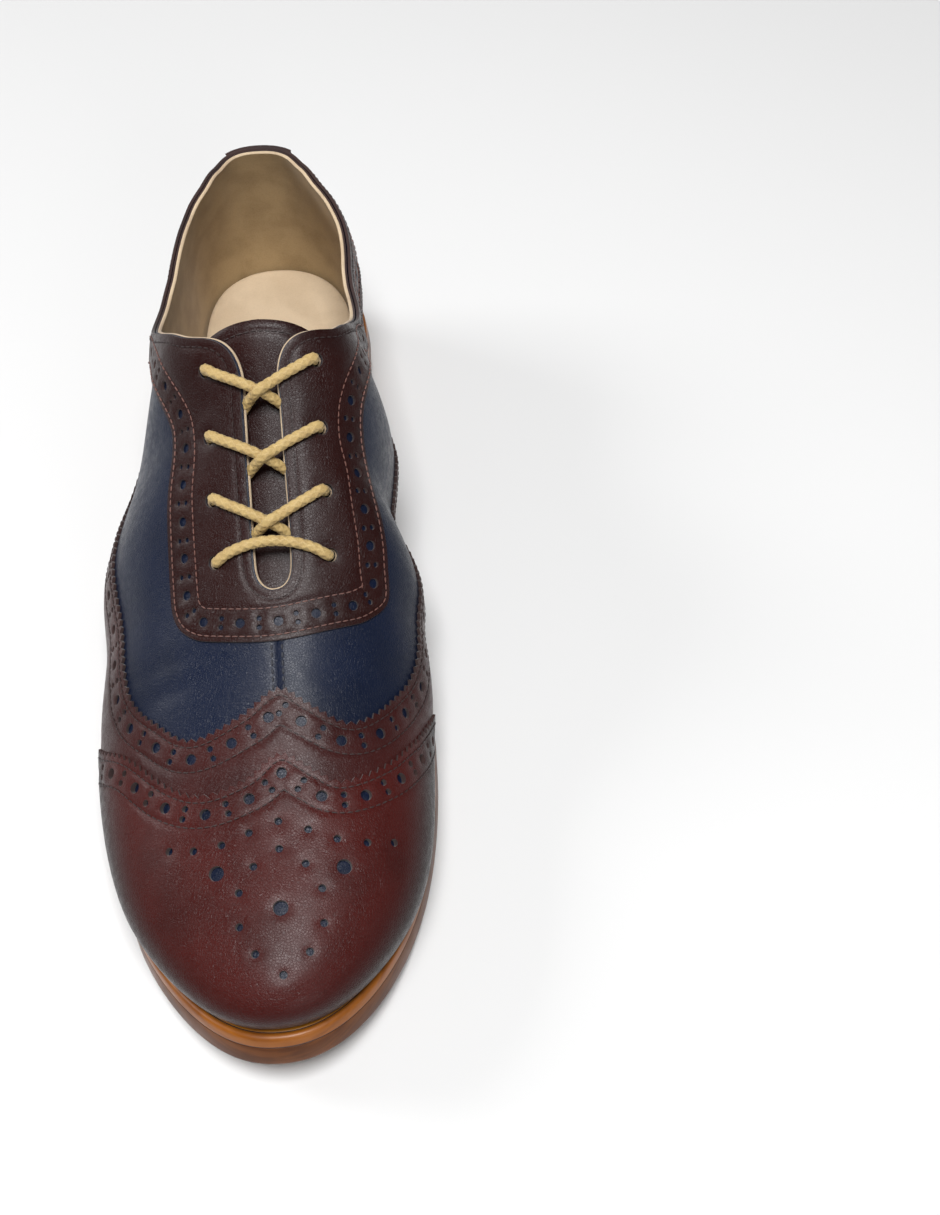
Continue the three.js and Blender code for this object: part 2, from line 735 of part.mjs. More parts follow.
// Layer of the sole from the rows of its edge profile, from the top to the bottom
const SOLE_STATIONS = 40;
function soleLayer(profile) {
  const stations = [...roundStations(SOLE_STATIONS), TREAD_START, SPRING_START].sort((a, b) => a - b);
  const faces = new FaceList();
  const rowOf = ({ inset, depth }, side) =>
    stations.map((at) => {
      const cut = section(at, side);
      return soleEdge(cut, inset(cut), depth);
    });
  const outerRows = profile.map((row) => rowOf(row, OUTER));
  const innerRows = profile.map((row) => rowOf(row, INNER));
  faces.strip(outerRows[0], innerRows[0]);
  faces.strip(innerRows.at(-1), outerRows.at(-1));
  for (let i = 0; i < profile.length - 1; i += 1) {
    faces.strip(outerRows[i + 1], outerRows[i]);
    faces.strip(innerRows[i], innerRows[i + 1]);
  }
  return faces.geometry();
}

const wallInset = (depth) => WALL_FLARE * (1 - depth / SOLE_THICKNESS);
const wallRow = (depth, extra = 0) => ({ depth, inset: () => wallInset(depth) + extra });
const LIP_MIDDLE = 0.3;
const OUTSOLE_TOP = WELT_THICKNESS + FIT_GAP;
const welt = soleLayer([
  wallRow(0, EDGE_ROUND),
  wallRow(LIP_MIDDLE * EDGE_ROUND, LIP_MIDDLE * EDGE_ROUND),
  wallRow(EDGE_ROUND),
  wallRow(WELT_THICKNESS),
]);
const outsole = soleLayer([
  wallRow(OUTSOLE_TOP),
  wallRow(SOLE_THICKNESS - EDGE_BREAK),
  wallRow(SOLE_THICKNESS, EDGE_BREAK),
]);
function insoleInset(cut) {
  const normal = normalAt(toPattern(cut, SKIRT));
  const slant = normal.x * cut.ray.x + normal.y * cut.ray.y;
  return cut.reach - footReach(cut) + (UPPER_WALL + INSOLE_GAP) / slant;
}
const insole = soleLayer([
  { depth: -FIT_GAP - INSOLE_THICKNESS, inset: insoleInset },
  { depth: -FIT_GAP, inset: insoleInset },
]);

// Block of the heel between two heights over the floor, tapered towards the floor
const HEEL_STATIONS = 18;
const HEEL_TOP = HEEL_SEAT - SOLE_THICKNESS - FIT_GAP;
function heelBlock(low, high) {
  const stations = roundStations(HEEL_STATIONS, HEEL_BREAST);
  const faces = new FaceList();
  const rowOf = (z, side) =>
    stations.map((at) => {
      const cut = section(at, side);
      const plan = onSection(cut, cut.reach - HEEL_INSET - HEEL_TAPER * (1 - z / HEEL_TOP));
      return new THREE.Vector3(plan.x, plan.y, z);
    });
  const [outerLow, innerLow] = SIDES.map((side) => rowOf(low, side));
  const [outerHigh, innerHigh] = SIDES.map((side) => rowOf(high, side));
  faces.strip(outerHigh, innerHigh);
  faces.strip(innerLow, outerLow);
  faces.strip(outerLow, outerHigh);
  faces.strip(innerHigh, innerLow);
  faces.quad(outerLow.at(-1), innerLow.at(-1), innerHigh.at(-1), outerHigh.at(-1));
  return faces.geometry();
}
const heelStack = heelBlock(TOP_PIECE_THICKNESS + FIT_GAP, HEEL_TOP);
const heelTopPiece = heelBlock(0, TOP_PIECE_THICKNESS);

// Round cord through places given by station, side, distance from the crown line and height off the skin
const CORD_SIDES = 8;
const CORD_STEPS = 9;
function cordSolid(places) {
  const points = places.map(({ at, side, away, height }) => offSkin(pointAcross(at, side, away), height));
  const path = new THREE.CatmullRomCurve3(points, false, "centripetal");
  const ring = Array.from({ length: CORD_SIDES }, (_, i) => {
    const turn = (2 * Math.PI * i) / CORD_SIDES;
    return new THREE.Vector2(Math.cos(turn), Math.sin(turn)).multiplyScalar(LACE_DIAMETER / 2);
  });
  const options = { steps: CORD_STEPS, extrudePath: path, bevelEnabled: false };
  return toSolid(new THREE.ExtrudeGeometry(new THREE.Shape(ring), options));
}

// Laces: a bar across the lowest eyelets and a crossing over the slot at each row above
const laceHeight = panelHigh + 2 * FIT_GAP + LACE_DIAMETER / 2;
const CROSSING_LIFT = 1.0;
const SLOT_DIP = 0.4;
const DIP_AWAY = 3.2;
const STRAND_PLACES = [17, 12, 7, 3.5];
const eyeletAt = (row) => EYELET_FIRST + EYELET_PITCH * row;
function laceStrand(row, side, lift) {
  const alongStrand = (away) => eyeletAt(row) + (EYELET_PITCH * (EYELET_ACROSS - away)) / (2 * EYELET_ACROSS);
  return cordSolid([
    ...STRAND_PLACES.map((away) => ({ at: alongStrand(away), side, away, height: laceHeight })),
    { at: alongStrand(0), side, away: 0, height: laceHeight + lift },
    { at: alongStrand(-DIP_AWAY), side: -side, away: DIP_AWAY, height: -SLOT_DIP },
  ]);
}
const laceCrossings = [0, 1, 2].map((row) =>
  toGeometry(laceStrand(row, OUTER, CROSSING_LIFT).add(laceStrand(row, INNER, -CROSSING_LIFT))),
);
const barPlaces = [...STRAND_PLACES, 0];
const lowestRow = eyeletAt(EYELET_ROWS - 1);
const barPlace = (side) => (away) => ({ at: lowestRow, side, away, height: laceHeight });
const laceBar = toGeometry(
  cordSolid([...barPlaces.map(barPlace(OUTER)), ...barPlaces.slice(0, -1).reverse().map(barPlace(INNER))]),
);

// Colours of the materials
const OXBLOOD = 0x4a2024;
const DARK_OXBLOOD = 0x35191b;
const NAVY = 0x1d2740;
const TAN = 0xb5713a;
const BROWN = 0x6b4423;
const BEIGE = 0xcbb391;
const CREAM = 0xe5d6a4;

const shoe = new THREE.Group();
function addPart(name, geometry, color, roughness) {
  const material = new THREE.MeshStandardMaterial({ color, roughness, metalness: 0 });
  const mesh = new THREE.Mesh(geometry, material);
  mesh.name = name;
  shoe.add(mesh);
}
addPart("upper", upper, NAVY, 0.5);
addPart("toe_cap", toeCap, OXBLOOD, 0.4);
addPart("wing_panel", wingPanel, OXBLOOD, 0.42);
addPart("lace_stay", laceStay, DARK_OXBLOOD, 0.45);
addPart("heel_tab", heelTab, DARK_OXBLOOD, 0.45);
addPart("tongue", tongue, DARK_OXBLOOD, 0.5);
addPart("insole", insole, BEIGE, 0.7);
addPart("welt", welt, TAN, 0.45);
addPart("outsole", outsole, BROWN, 0.5);
addPart("heel_stack", heelStack, TAN, 0.5);
addPart("heel_top_piece", heelTopPiece, BROWN, 0.6);
addPart("lace_bar", laceBar, CREAM, 0.8);
laceCrossings.forEach((geometry, i) => addPart(`lace_crossing_${i + 1}`, geometry, CREAM, 0.8));

// The origin sits at the bottom centre of the whole shoe
const box = new THREE.Box3().setFromObject(shoe);
const middle = box.getCenter(new THREE.Vector3());
for (const piece of shoe.children) {
  piece.geometry.translate(-middle.x, -middle.y, -box.min.z);
  piece.geometry.computeVertexNormals();
}

export default shoe;
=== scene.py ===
"""Laced wing tip dress shoe for the right foot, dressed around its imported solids.

Lengths are in millimetres until a shape becomes a mesh in metres. +Z is up, the toe points to -Y and
the inner side of the foot is +X. Stations run along the sole from 0 at the heel to 1 at the toe. The
leather is cut in a flat pattern, in which every section of the last is laid out straight, and each
cut piece is then bent over the last.
"""

from __future__ import annotations

import logging
import math
from collections.abc import Callable, Sequence
from dataclasses import dataclass, field
from enum import Enum

import bpy
import numpy as np
from mathutils import Matrix, Vector, kdtree
from mathutils.geometry import delaunay_2d_cdt


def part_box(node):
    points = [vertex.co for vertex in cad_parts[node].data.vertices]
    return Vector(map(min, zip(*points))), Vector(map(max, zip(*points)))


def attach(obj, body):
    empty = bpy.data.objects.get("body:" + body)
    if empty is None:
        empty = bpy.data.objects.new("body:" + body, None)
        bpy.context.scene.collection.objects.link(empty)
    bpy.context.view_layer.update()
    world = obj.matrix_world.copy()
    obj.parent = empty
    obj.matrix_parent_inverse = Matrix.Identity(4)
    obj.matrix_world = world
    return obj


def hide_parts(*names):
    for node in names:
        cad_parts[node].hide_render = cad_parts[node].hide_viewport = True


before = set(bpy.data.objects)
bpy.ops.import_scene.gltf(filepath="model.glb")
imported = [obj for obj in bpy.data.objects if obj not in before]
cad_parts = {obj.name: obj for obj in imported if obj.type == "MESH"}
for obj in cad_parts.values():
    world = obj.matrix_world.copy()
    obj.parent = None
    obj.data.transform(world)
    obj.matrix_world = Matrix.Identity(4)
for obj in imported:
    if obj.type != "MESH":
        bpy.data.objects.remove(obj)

Array = np.ndarray
Colour = tuple[float, float, float]
Loops = list[Array]

MM = 0.001
BODY = "root"
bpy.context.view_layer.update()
LOG = logging.getLogger("shoe")


class Side(Enum):
    """Side of the foot, with the sign of its direction along X."""

    OUTER = -1
    INNER = 1


SIDES = (Side.OUTER, Side.INNER)


class Curve:
    """Smooth monotone curve through the values of a table's column."""

    def __init__(self, at: Array, value: Array) -> None:
        """Fit the curve.

        Args:
            at: Stations in rising order.
            value: Value at each station.
        """
        self.at = at
        self.value = value
        slope = np.diff(value) / np.diff(at)
        product = slope[:-1] * slope[1:]
        total = np.where(product > 0, slope[:-1] + slope[1:], 1.0)
        inner = np.where(product > 0, 2 * product / total, 0.0)
        self.tangent = np.concatenate([slope[:1], inner, slope[-1:]])

    def __call__(self, at: Array | float) -> Array:
        """Return the curve's value at one or more stations.

        Args:
            at: Stations.

        Returns:
            The curve's value at one or more stations.
        """
        place = np.clip(at, self.at[0], self.at[-1])
        i = np.clip(np.searchsorted(self.at, place) - 1, 0, len(self.at) - 2)
        span = self.at[i + 1] - self.at[i]
        t = (place - self.at[i]) / span
        rest = 1 - t
        bend = span * t * rest * (self.tangent[i] * rest - self.tangent[i + 1] * t)
        low = self.value[i] * rest * rest * (1 + 2 * t)
        return low + self.value[i + 1] * t * t * (3 - 2 * t) + bend


class Table:
    """Short table with named columns, the first of which is usually the station."""

    def __init__(self, columns: str, *rows: Sequence[float]) -> None:
        """Store the columns.

        Args:
            columns: Column names, parted by spaces.
            rows: One row of numbers for each section.
        """
        self.column = {name: np.array(values) for name, values in zip(columns.split(), zip(*rows))}

    def curve(self, column: str) -> Curve:
        """Return the smooth curve of one column over the stations."""
        return Curve(self.column["at"], self.column[column])

    def pair(self, outer: str = "outer", inner: str = "inner") -> tuple[Curve, Curve]:
        """Return the curves of an outer and an inner column."""
        return self.curve(outer), self.curve(inner)


# Edge of the sole: half widths as shares of the ball width
OUTLINE = Table(
    "at outer inner",
    (0.0, 0.33, 0.33),
    (0.1, 0.317, 0.334),
    (0.22, 0.346, 0.335),
    (0.34, 0.355, 0.262),
    (0.46, 0.445, 0.25),
    (0.57, 0.49, 0.43),
    (0.67, 0.515, 0.495),
    (0.76, 0.51, 0.49),
    (0.86, 0.505, 0.482),
    (1.0, 0.44, 0.45),
)

# Ledge of the welt outside the upper's belly, as shares of the ledge width
LEDGE = Table(
    "at outer inner",
    (0.0, 0.5, 0.5),
    (0.2, 0.4, 0.6),
    (0.3, -0.3, -1.5),
    (0.4, -0.7, -4.0),
    (0.5, -1.6, -3.2),
    (0.6, -0.4, -0.4),
    (0.72, 0.0, 0.6),
    (0.86, 0.5, 0.2),
    (1.0, 1.0, 1.0),
)

# Height of the belly over the sole
BELLY = Table(
    "at outer inner",
    (0.0, 19, 19),
    (0.3, 19, 28),
    (0.42, 16, 29),
    (0.54, 13, 26),
    (0.7, 12, 12),
    (0.86, 10.6, 10.6),
    (1.0, 8.5, 8.5),
)

# Crown line: rise as a share of the crown height, shift inwards as a share of the ball width
CROWN = Table(
    "at rise shift",
    (0.0, 1.0, 0),
    (0.05, 0.998, 0),
    (0.14, 0.97, 0),
    (0.25, 0.927, 0.022),
    (0.36, 0.868, 0.045),
    (0.44, 0.755, 0.049),
    (0.52, 0.653, 0.053),
    (0.6, 0.554, 0.056),
    (0.7, 0.44, 0.056),
    (0.8, 0.346, 0.056),
    (0.9, 0.26, 0.056),
    (1.0, 0.17, 0.056),
)

# Fullness of each section from belly to crown, across and up, where 2 is an ellipse
FULLNESS = Table(
    "at outer_across outer_up inner_across inner_up",
    (0.0, 2.1, 2.1, 2.1, 2.1),
    (0.02, 1.6, 1.6, 1.6, 1.6),
    (0.05, 1.42, 1.43, 1.42, 1.43),
    (0.09, 1.54, 1.55, 1.54, 1.55),
    (0.15, 1.95, 1.95, 1.95, 1.95),
    (0.25, 2.25, 2.1, 2.25, 2.05),
    (0.36, 2.2, 1.85, 2.55, 1.95),
    (0.44, 1.75, 1.45, 2.65, 2.35),
    (0.52, 1.85, 1.62, 2.75, 2.25),
    (0.6, 2.0, 1.7, 2.3, 1.9),
    (0.7, 2.1, 1.75, 2.1, 1.75),
    (0.8, 2.2, 1.9, 2.2, 1.9),
    (0.9, 2.4, 2.1, 2.4, 2.1),
    (1.0, 2.4, 2.1, 2.4, 2.1),
)

# Top line of the collar over the sole, as shares of the collar height
TOP_LINE = Table(
    "at rise",
    (0.0, 1.0),
    (0.06, 0.97),
    (0.15, 0.85),
    (0.22, 0.82),
    (0.27, 0.9),
    (0.32, 1.12),
    (0.35, 1.29),
    (0.37, 1.38),
    (0.4, 1.43),
)

# Rear edge of the toe cap, from the outer foot over the crown to the inner foot: up is 0 at the
# belly and 1 on the crown line
CAP_EDGE_OUTER = Table(
    "at up",
    (0.685, -0.4),
    (0.685, 0.0),
    (0.705, 0.22),
    (0.73, 0.43),
    (0.775, 0.63),
    (0.79, 0.76),
    (0.78, 0.9),
)
CAP_EDGE_INNER = Table(
    "at up",
    (0.757, 1.0),
    (0.775, 0.86),
    (0.783, 0.75),
    (0.76, 0.54),
    (0.725, 0.34),
    (0.668, 0.0),
    (0.66, -0.4),
)

# Top edge of the wing panel, from the heel along the outer side, over the vamp and back
WING_EDGE_OUTER = Table(
    "at up",
    (0.0, 0.06),
    (0.05, 0.08),
    (0.1, 0.09),
    (0.25, 0.07),
    (0.37, 0.13),
    (0.463, 0.24),
    (0.575, 0.34),
    (0.665, 0.43),
    (0.709, 0.59),
    (0.731, 0.72),
    (0.716, 0.88),
)
WING_EDGE_INNER = Table(
    "at up",
    (0.692, 1.0),
    (0.708, 0.87),
    (0.722, 0.7),
    (0.697, 0.51),
    (0.644, 0.29),
    (0.56, 0.12),
    (0.44, 0.02),
    (0.25, -0.01),
    (0.1, 0.07),
    (0.05, 0.08),
    (0.0, 0.06),
)

# Outer edges of the lace stay, as distances over the skin from the crown line
STAY_EDGE = {
    Side.OUTER: Table("at across", (0.43, 33), (0.5, 32.5), (0.58, 32), (0.612, 30.5), (0.632, 26), (0.643, 18)),
    Side.INNER: Table("at across", (0.43, 33), (0.5, 33.5), (0.56, 35), (0.595, 35), (0.62, 28), (0.634, 19)),
}

# Outline of the tongue, as distances over the skin from the crown line
TONGUE_OUTLINE = Table(
    "at across",
    (0.368, 16),
    (0.38, 24),
    (0.42, 26),
    (0.5, 24),
    (0.6, 19),
    (0.645, 16),
)

# Half width of the heel strap at heights over the sole
HEEL_TAB_EDGE = Table(
    "drop half",
    (-3, 9.5),
    (8, 10.0),
    (20, 10.6),
    (28, 10.0),
)

# Pinholes of the toe cap's ornament: station, distance to each side of its middle and radius
MEDALLION = Table(
    "at away radius",
    (0.816, 0.0, 1.1),
    (0.825, 8.0, 1.1),
    (0.834, 15.5, 1.1),
    (0.836, 23.2, 1.1),
    (0.832, 30.0, 1.1),
    (0.842, 0.0, 1.1),
    (0.857, 7.0, 1.1),
    (0.86, 17.0, 2.1),
    (0.88, 11.0, 1.1),
    (0.911, 11.0, 1.1),
    (0.936, 7.0, 1.1),
    (0.897, 0.0, 2.1),
    (0.955, 0.0, 1.1),
)

# Soft troughs where the vamp bends in walking: station on the crown, lean towards the toe at the
# belly, share of the section in its middle, half length as a share, half width and depth
CREASES = Table(
    "at lean middle length width depth",
    (0.672, 0.02, 0.45, 0.4, 3.2, 0.28),
    (0.652, 0.0, 0.5, 0.35, 3.0, 0.22),
    (0.3, 0.05, 0.75, 0.3, 5.0, 0.35),
    (0.2, -0.02, 0.72, 0.25, 5.0, 0.3),
)


def smoothstep(value: Array, low: float, high: float) -> Array:
    """Return a smooth rise from 0 at the low value to 1 at the high one."""
    t = np.clip((value - low) / (high - low), 0, 1)
    return t * t * (3 - 2 * t)


def unit(vectors: Array) -> Array:
    """Return vectors scaled to a length of one."""
    return vectors / np.maximum(np.linalg.norm(vectors, axis=-1, keepdims=True), 1e-12)


def round_stations(count: int, end: float = 1.0) -> Array:
    """Return stations that are set close together round the ends of a span.

    Args:
        count: Number of steps.
        end: Last station; below 1, only the start is close.

    Returns:
        The stations, from 0 to the end.
    """
    turn, scale = (math.pi / 2, end) if end < 1 else (math.pi, 0.5)
    return scale * (1 - np.cos(turn * np.arange(count + 1) / count))


def spline(points: Array, steps: int = 24) -> Array:
    """Return a dense smooth line through points.

    Args:
        points: Points in order, one a row.
        steps: Steps between two points.

    Returns:
        The points of the line.
    """
    before = np.vstack([points[:1], points[:-2]])
    after = np.vstack([points[2:], points[-1:]])
    low, high = points[:-1], points[1:]
    start, finish = (high - before) / 2, (after - low) / 2
    t = (np.arange(steps) / steps)[None, :, None]
    low, high, start, finish = (part[:, None, :] for part in (low, high, start, finish))
    cubic = (2 * low - 2 * high + start + finish) * t**3
    square = (3 * high - 3 * low - 2 * start - finish) * t**2
    line = (cubic + square + start * t + low).reshape(-1, points.shape[1])
    return np.vstack([line, points[-1:]])


def distances(spots: Array, targets: Array) -> Array:
    """Return the distance from each spot to its nearest target.

    Args:
        spots: Spots, one a row.
        targets: Points to measure to.

    Returns:
        The distance from each spot to its nearest target.
    """
    tree = kdtree.KDTree(len(targets))
    for i, target in enumerate(targets.tolist()):
        tree.insert(target, i)
    tree.balance()
    return np.array([tree.find(spot)[2] for spot in spots.tolist()])


@dataclass
class Cut:
    """Sections that fan out from the spine to stations of the sole's edge."""

    at: Array
    side: Array
    foot: Array
    reach: Array
    ray: Array

    def plan(self, distance: Array) -> Array:
        """Return the plan points at distances from the sections' feet."""
        return self.foot + self.ray * np.asarray(distance)[..., None]


@dataclass
class Ground:
    """Spots on the last with their slopes and outward normals."""

    last: "Last"
    spot: Array
    slope_x: Array
    slope_y: Array
    normal: Array
    fall: Array
    relief: Array

    def off(self, height: Array | float) -> Array:
        """Return the points at a height square to the skin; at the foot they keep their level.

        Args:
            height: Heights over the skin.

        Returns:
            The points at a height square to the skin; at the foot they keep their level.
        """
        lift = np.asarray(height) + self.relief
        placed = self.spot + self.normal * lift[..., None]
        was = self.last.seat(self.last.station(self.spot[:, 1]))
        now = self.last.seat(self.last.station(placed[:, 1]))
        placed[:, 2] += self.fall * (now - was)
        return placed

    def over(self, height: Array | float) -> Array:
        """Return the points at a height straight over the skin.

        Args:
            height: Heights over the skin.

        Returns:
            The points at a height straight over the skin.
        """
        placed = self.spot.copy()
        placed[:, 2] += height / np.maximum(self.normal[:, 2], self.last.least_tilt)
        return placed

    def flatten(self, vectors: Array) -> Array:
        """Return the moves in the flat pattern that make short moves over the skin.

        Args:
            vectors: Moves over the skin in millimetres.

        Returns:
            The moves in the flat pattern that make short moves over the skin.
        """
        xx = np.sum(self.slope_x * self.slope_x, axis=-1)
        yy = np.sum(self.slope_y * self.slope_y, axis=-1)
        xy = np.sum(self.slope_x * self.slope_y, axis=-1)
        x = np.sum(self.slope_x * vectors, axis=-1)
        y = np.sum(self.slope_y * vectors, axis=-1)
        area = np.maximum(xx * yy - xy * xy, 1e-9)
        return np.stack([(x * yy - y * xy) / area, (y * xx - x * xy) / area], axis=-1)


@dataclass
class Last:
    """The form over which the shoe is made, with the flat pattern of its skin."""

    length: float = 292.0
    ball_width: float = 98.0
    crown_height: float = 104.0
    collar_height: float = 58.0
    heel_seat: float = 24.0
    toe_spring: float = 14.5
    ledge_width: float = 4.0
    sole_thickness: float = 10.0
    welt_thickness: float = 3.6
    fit_gap: float = 0.3
    wall_flare: float = 1.0
    tuck: float = 2.0
    foot_inset: float = 1.5
    seat_end: float = 0.25
    tread_start: float = 0.62
    spring_start: float = 0.68
    spring_power: float = 2.7
    heel_round: tuple[float, float] = (0.128, 2.17)
    toe_round: tuple[float, float] = (0.3, 2.15)
    spine: tuple[float, float] = (0.14, 0.86)
    spine_ease: float = 0.05
    swing_start: float = 0.45
    toe_swing: float = 0.022
    skirt: float = 1.25
    stretch: float = 1.8
    normal_step: float = 0.6
    least_tilt: float = 0.6
    origin: Array = field(default_factory=lambda: np.zeros(3))

    def __post_init__(self) -> None:
        """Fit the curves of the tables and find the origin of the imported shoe."""
        self.outline = OUTLINE.pair()
        self.ledge = LEDGE.pair()
        self.belly = BELLY.pair()
        self.across = FULLNESS.pair("outer_across", "inner_across")
        self.upward = FULLNESS.pair("outer_up", "inner_up")
        self.crown_rise = CROWN.curve("rise")
        self.crown_shift = CROWN.curve("shift")
        self.top_line = TOP_LINE.curve("rise")
        stations = round_stations(2048)
        self.fan = {side: self.section(stations, np.full(len(stations), side.value)) for side in SIDES}
        self.origin = self.find_origin()

    def find_origin(self) -> Array:
        """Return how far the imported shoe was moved, from the box of its outsole.

        Returns:
            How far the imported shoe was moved, from the box of its outsole.
        """
        low, high = (np.array(corner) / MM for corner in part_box("outsole"))
        rims = []
        for fan in self.fan.values():
            for depth in np.linspace(self.welt_thickness, self.sole_thickness, 3):
                flare = self.wall_flare * (1 - depth / self.sole_thickness)
                rims.append(self.sole_edge(fan, flare, depth))
        rim = np.vstack(rims)
        middle = (rim.min(axis=0) + rim.max(axis=0)) / 2
        shift = (low + high) / 2 - middle
        return np.array([shift[0], shift[1], 0.0])

    def sole_edge(self, cut: Cut, inset: Array | float, depth: float) -> Array:
        """Return edge points of a sole layer at a depth square to the sole's top face.

        Args:
            cut: Sections.
            inset: Distance inside the sole's edge.
            depth: Depth below the top face.

        Returns:
            Edge points of a sole layer at a depth square to the sole's top face.
        """
        plan = cut.plan(cut.reach - inset)
        station = self.station(plan[:, 1])
        angle = self.seat_angle(station)
        y = plan[:, 1] - depth * np.sin(angle)
        return np.column_stack([plan[:, 0], y, self.seat(station) - depth * np.cos(angle)])

    def pick(self, curves: tuple[Curve, Curve], at: Array, side: Array) -> Array:
        """Return each station's value from the curve of its side."""
        return np.where(side < 0, curves[0](at), curves[1](at))

    def half_width(self, at: Array, side: Array) -> Array:
        """Return the half width of the sole on one side.

        Args:
            at: Stations.
            side: Side of the foot.

        Returns:
            The half width of the sole on one side.
        """
        rounded = 1.0
        for distance, (length, power) in ((at, self.heel_round), (1 - at, self.toe_round)):
            t = np.clip(1 - distance / length, 0, 1)
            rounded = rounded * (1 - t**power) ** (1 / power)
        return self.ball_width * self.pick(self.outline, at, side) * rounded

    def swing(self, at: Array) -> Array:
        """Return the sideways swing of the sole's middle line at stations."""
        share = np.clip((at - self.swing_start) / (1 - self.swing_start), 0, 1)
        return self.ball_width * self.toe_swing * share**2

    def seat(self, at: Array) -> Array:
        """Return the height of the sole's top face over the floor.

        Args:
            at: Stations.

        Returns:
            The height of the sole's top face over the floor.
        """
        share = np.clip((at - self.spring_start) / (1 - self.spring_start), 0, 1)
        pitch = 1 - smoothstep(at, self.seat_end, self.tread_start)
        low = self.sole_thickness + self.toe_spring * share**self.spring_power
        return low + (self.heel_seat - low) * pitch

    def seat_angle(self, at: Array) -> Array:
        """Return the slope of the sole towards the toe, as an angle."""
        low, high = np.clip(at - 1e-3, 0, 1), np.clip(at + 1e-3, 0, 1)
        return np.arctan2(self.seat(high) - self.seat(low), (high - low) * self.length)

    def along(self, at: Array) -> Array:
        """Return the Y of stations."""
        return self.length * (0.5 - at)

    def station(self, y: Array) -> Array:
        """Return the stations of Y values."""
        return 0.5 - y / self.length

    def crown_x(self, at: Array) -> Array:
        """Return the X of the crown line at stations."""
        return self.swing(at) + self.ball_width * self.crown_shift(at)

    def section(self, at: Array | float, side: Array | float) -> Cut:
        """Return the sections that fan out from the spine to stations of the outline.

        Args:
            at: Stations.
            side: Side of the foot.

        Returns:
            The sections that fan out from the spine to stations of the outline.
        """
        at, side = np.broadcast_arrays(np.asarray(at, float), np.asarray(side, float))
        ease = self.spine_ease
        start, end = self.spine
        bend = np.log1p(np.exp((at - start) / ease)) - np.log1p(np.exp((at - end) / ease))
        root = start + ease * bend
        foot = np.stack([self.crown_x(root), self.along(root)], axis=-1)
        edge = np.stack([self.swing(at) + side * self.half_width(at, side), self.along(at)], axis=-1)
        ray = edge - foot
        reach = np.linalg.norm(ray, axis=-1)
        return Cut(at, side, foot, reach, ray / reach[..., None])

    def belly_reach(self, cut: Cut) -> Array:
        """Return the distance from the sections' feet to the belly."""
        return cut.reach - self.ledge_width * self.pick(self.ledge, cut.at, cut.side)

    def foot_reach(self, cut: Cut) -> Array:
        """Return the distance from the sections' feet to the foot of the upper."""
        return np.minimum(self.belly_reach(cut) - self.tuck, cut.reach - self.foot_inset)

    def skin(self, cut: Cut, share: Array) -> Array:
        """Return points of the last's skin.

        Args:
            cut: Sections.
            share: 0 on the crown line, 1 at the belly and the skirt's share at the sole.

        Returns:
            The points.
        """
        reach = self.belly_reach(cut)
        belly_plan = cut.plan(reach)
        belly_z = self.seat(self.station(belly_plan[..., 1])) + self.pick(self.belly, cut.at, cut.side)
        fall = np.maximum((share - 1) / (self.skirt - 1), 0)
        low_plan = cut.plan(reach + (self.foot_reach(cut) - reach) * fall * fall)
        sole_z = self.seat(self.station(low_plan[..., 1])) + self.fit_gap
        low_z = belly_z + (sole_z - belly_z) * fall
        turn = (1 - np.clip(share, 0, 1)) * math.pi / 2
        cosine = np.maximum(np.cos(turn), 0)
        plan = cut.plan(reach * cosine ** (2 / self.pick(self.across, cut.at, cut.side)))
        station = self.station(plan[..., 1])
        crown_z = self.seat(station) + self.crown_height * self.crown_rise(station)
        up = np.sin(turn) ** (2 / self.pick(self.upward, cut.at, cut.side))
        high_z = belly_z + (crown_z - belly_z) * up
        low = np.concatenate([low_plan, low_z[..., None]], axis=-1)
        high = np.concatenate([plan, high_z[..., None]], axis=-1)
        return np.where((share > 1)[..., None], low, high)

    def to_pattern(self, cut: Cut, share: Array | float) -> Array:
        """Return the flat pattern's points of sections and shares."""
        return cut.plan(cut.reach * self.stretch * share)

    def pattern(self, at: Array | float, side: Side, share: Array | float) -> Array:
        """Return the flat pattern's points of stations and shares on one side."""
        return self.to_pattern(self.section(at, side.value), np.asarray(share, float))

    def side_of(self, points: Array) -> Array:
        """Return the sign of the side on which pattern points lie.

        Args:
            points: Pattern points.

        Returns:
            The sign of the side on which pattern points lie.
        """
        line = self.crown_x(np.clip(self.station(points[:, 1]), 0, 1))
        for end in (0, -1):
            fan = self.fan[Side.OUTER]
            past = (points[:, 1] - fan.foot[end, 1]) / fan.ray[end, 1]
            line = np.where(past > 0, fan.foot[end, 0] + fan.ray[end, 0] * past, line)
        return np.where(points[:, 0] < line, -1.0, 1.0)

    def from_pattern(self, points: Array) -> tuple[Cut, Array]:
        """Return the sections and shares of pattern points.

        Args:
            points: Pattern points.

        Returns:
            The sections and shares of pattern points.
        """
        sides = self.side_of(points)
        at = np.zeros(len(points))
        for side in SIDES:
            chosen = sides == side.value
            if not chosen.any():
                continue
            fan, spots = self.fan[side], points[chosen]

            def lead(i: Array) -> Array:
                """Return how far the spots lie past the sections of the fan.

                Args:
                    i: Numbers of the sections.

                Returns:
                    How far the spots lie past the sections of the fan.
                """
                offset = spots - fan.foot[i]
                ray = fan.ray[i]
                return (ray[:, 0] * offset[:, 1] - ray[:, 1] * offset[:, 0]) * side.value

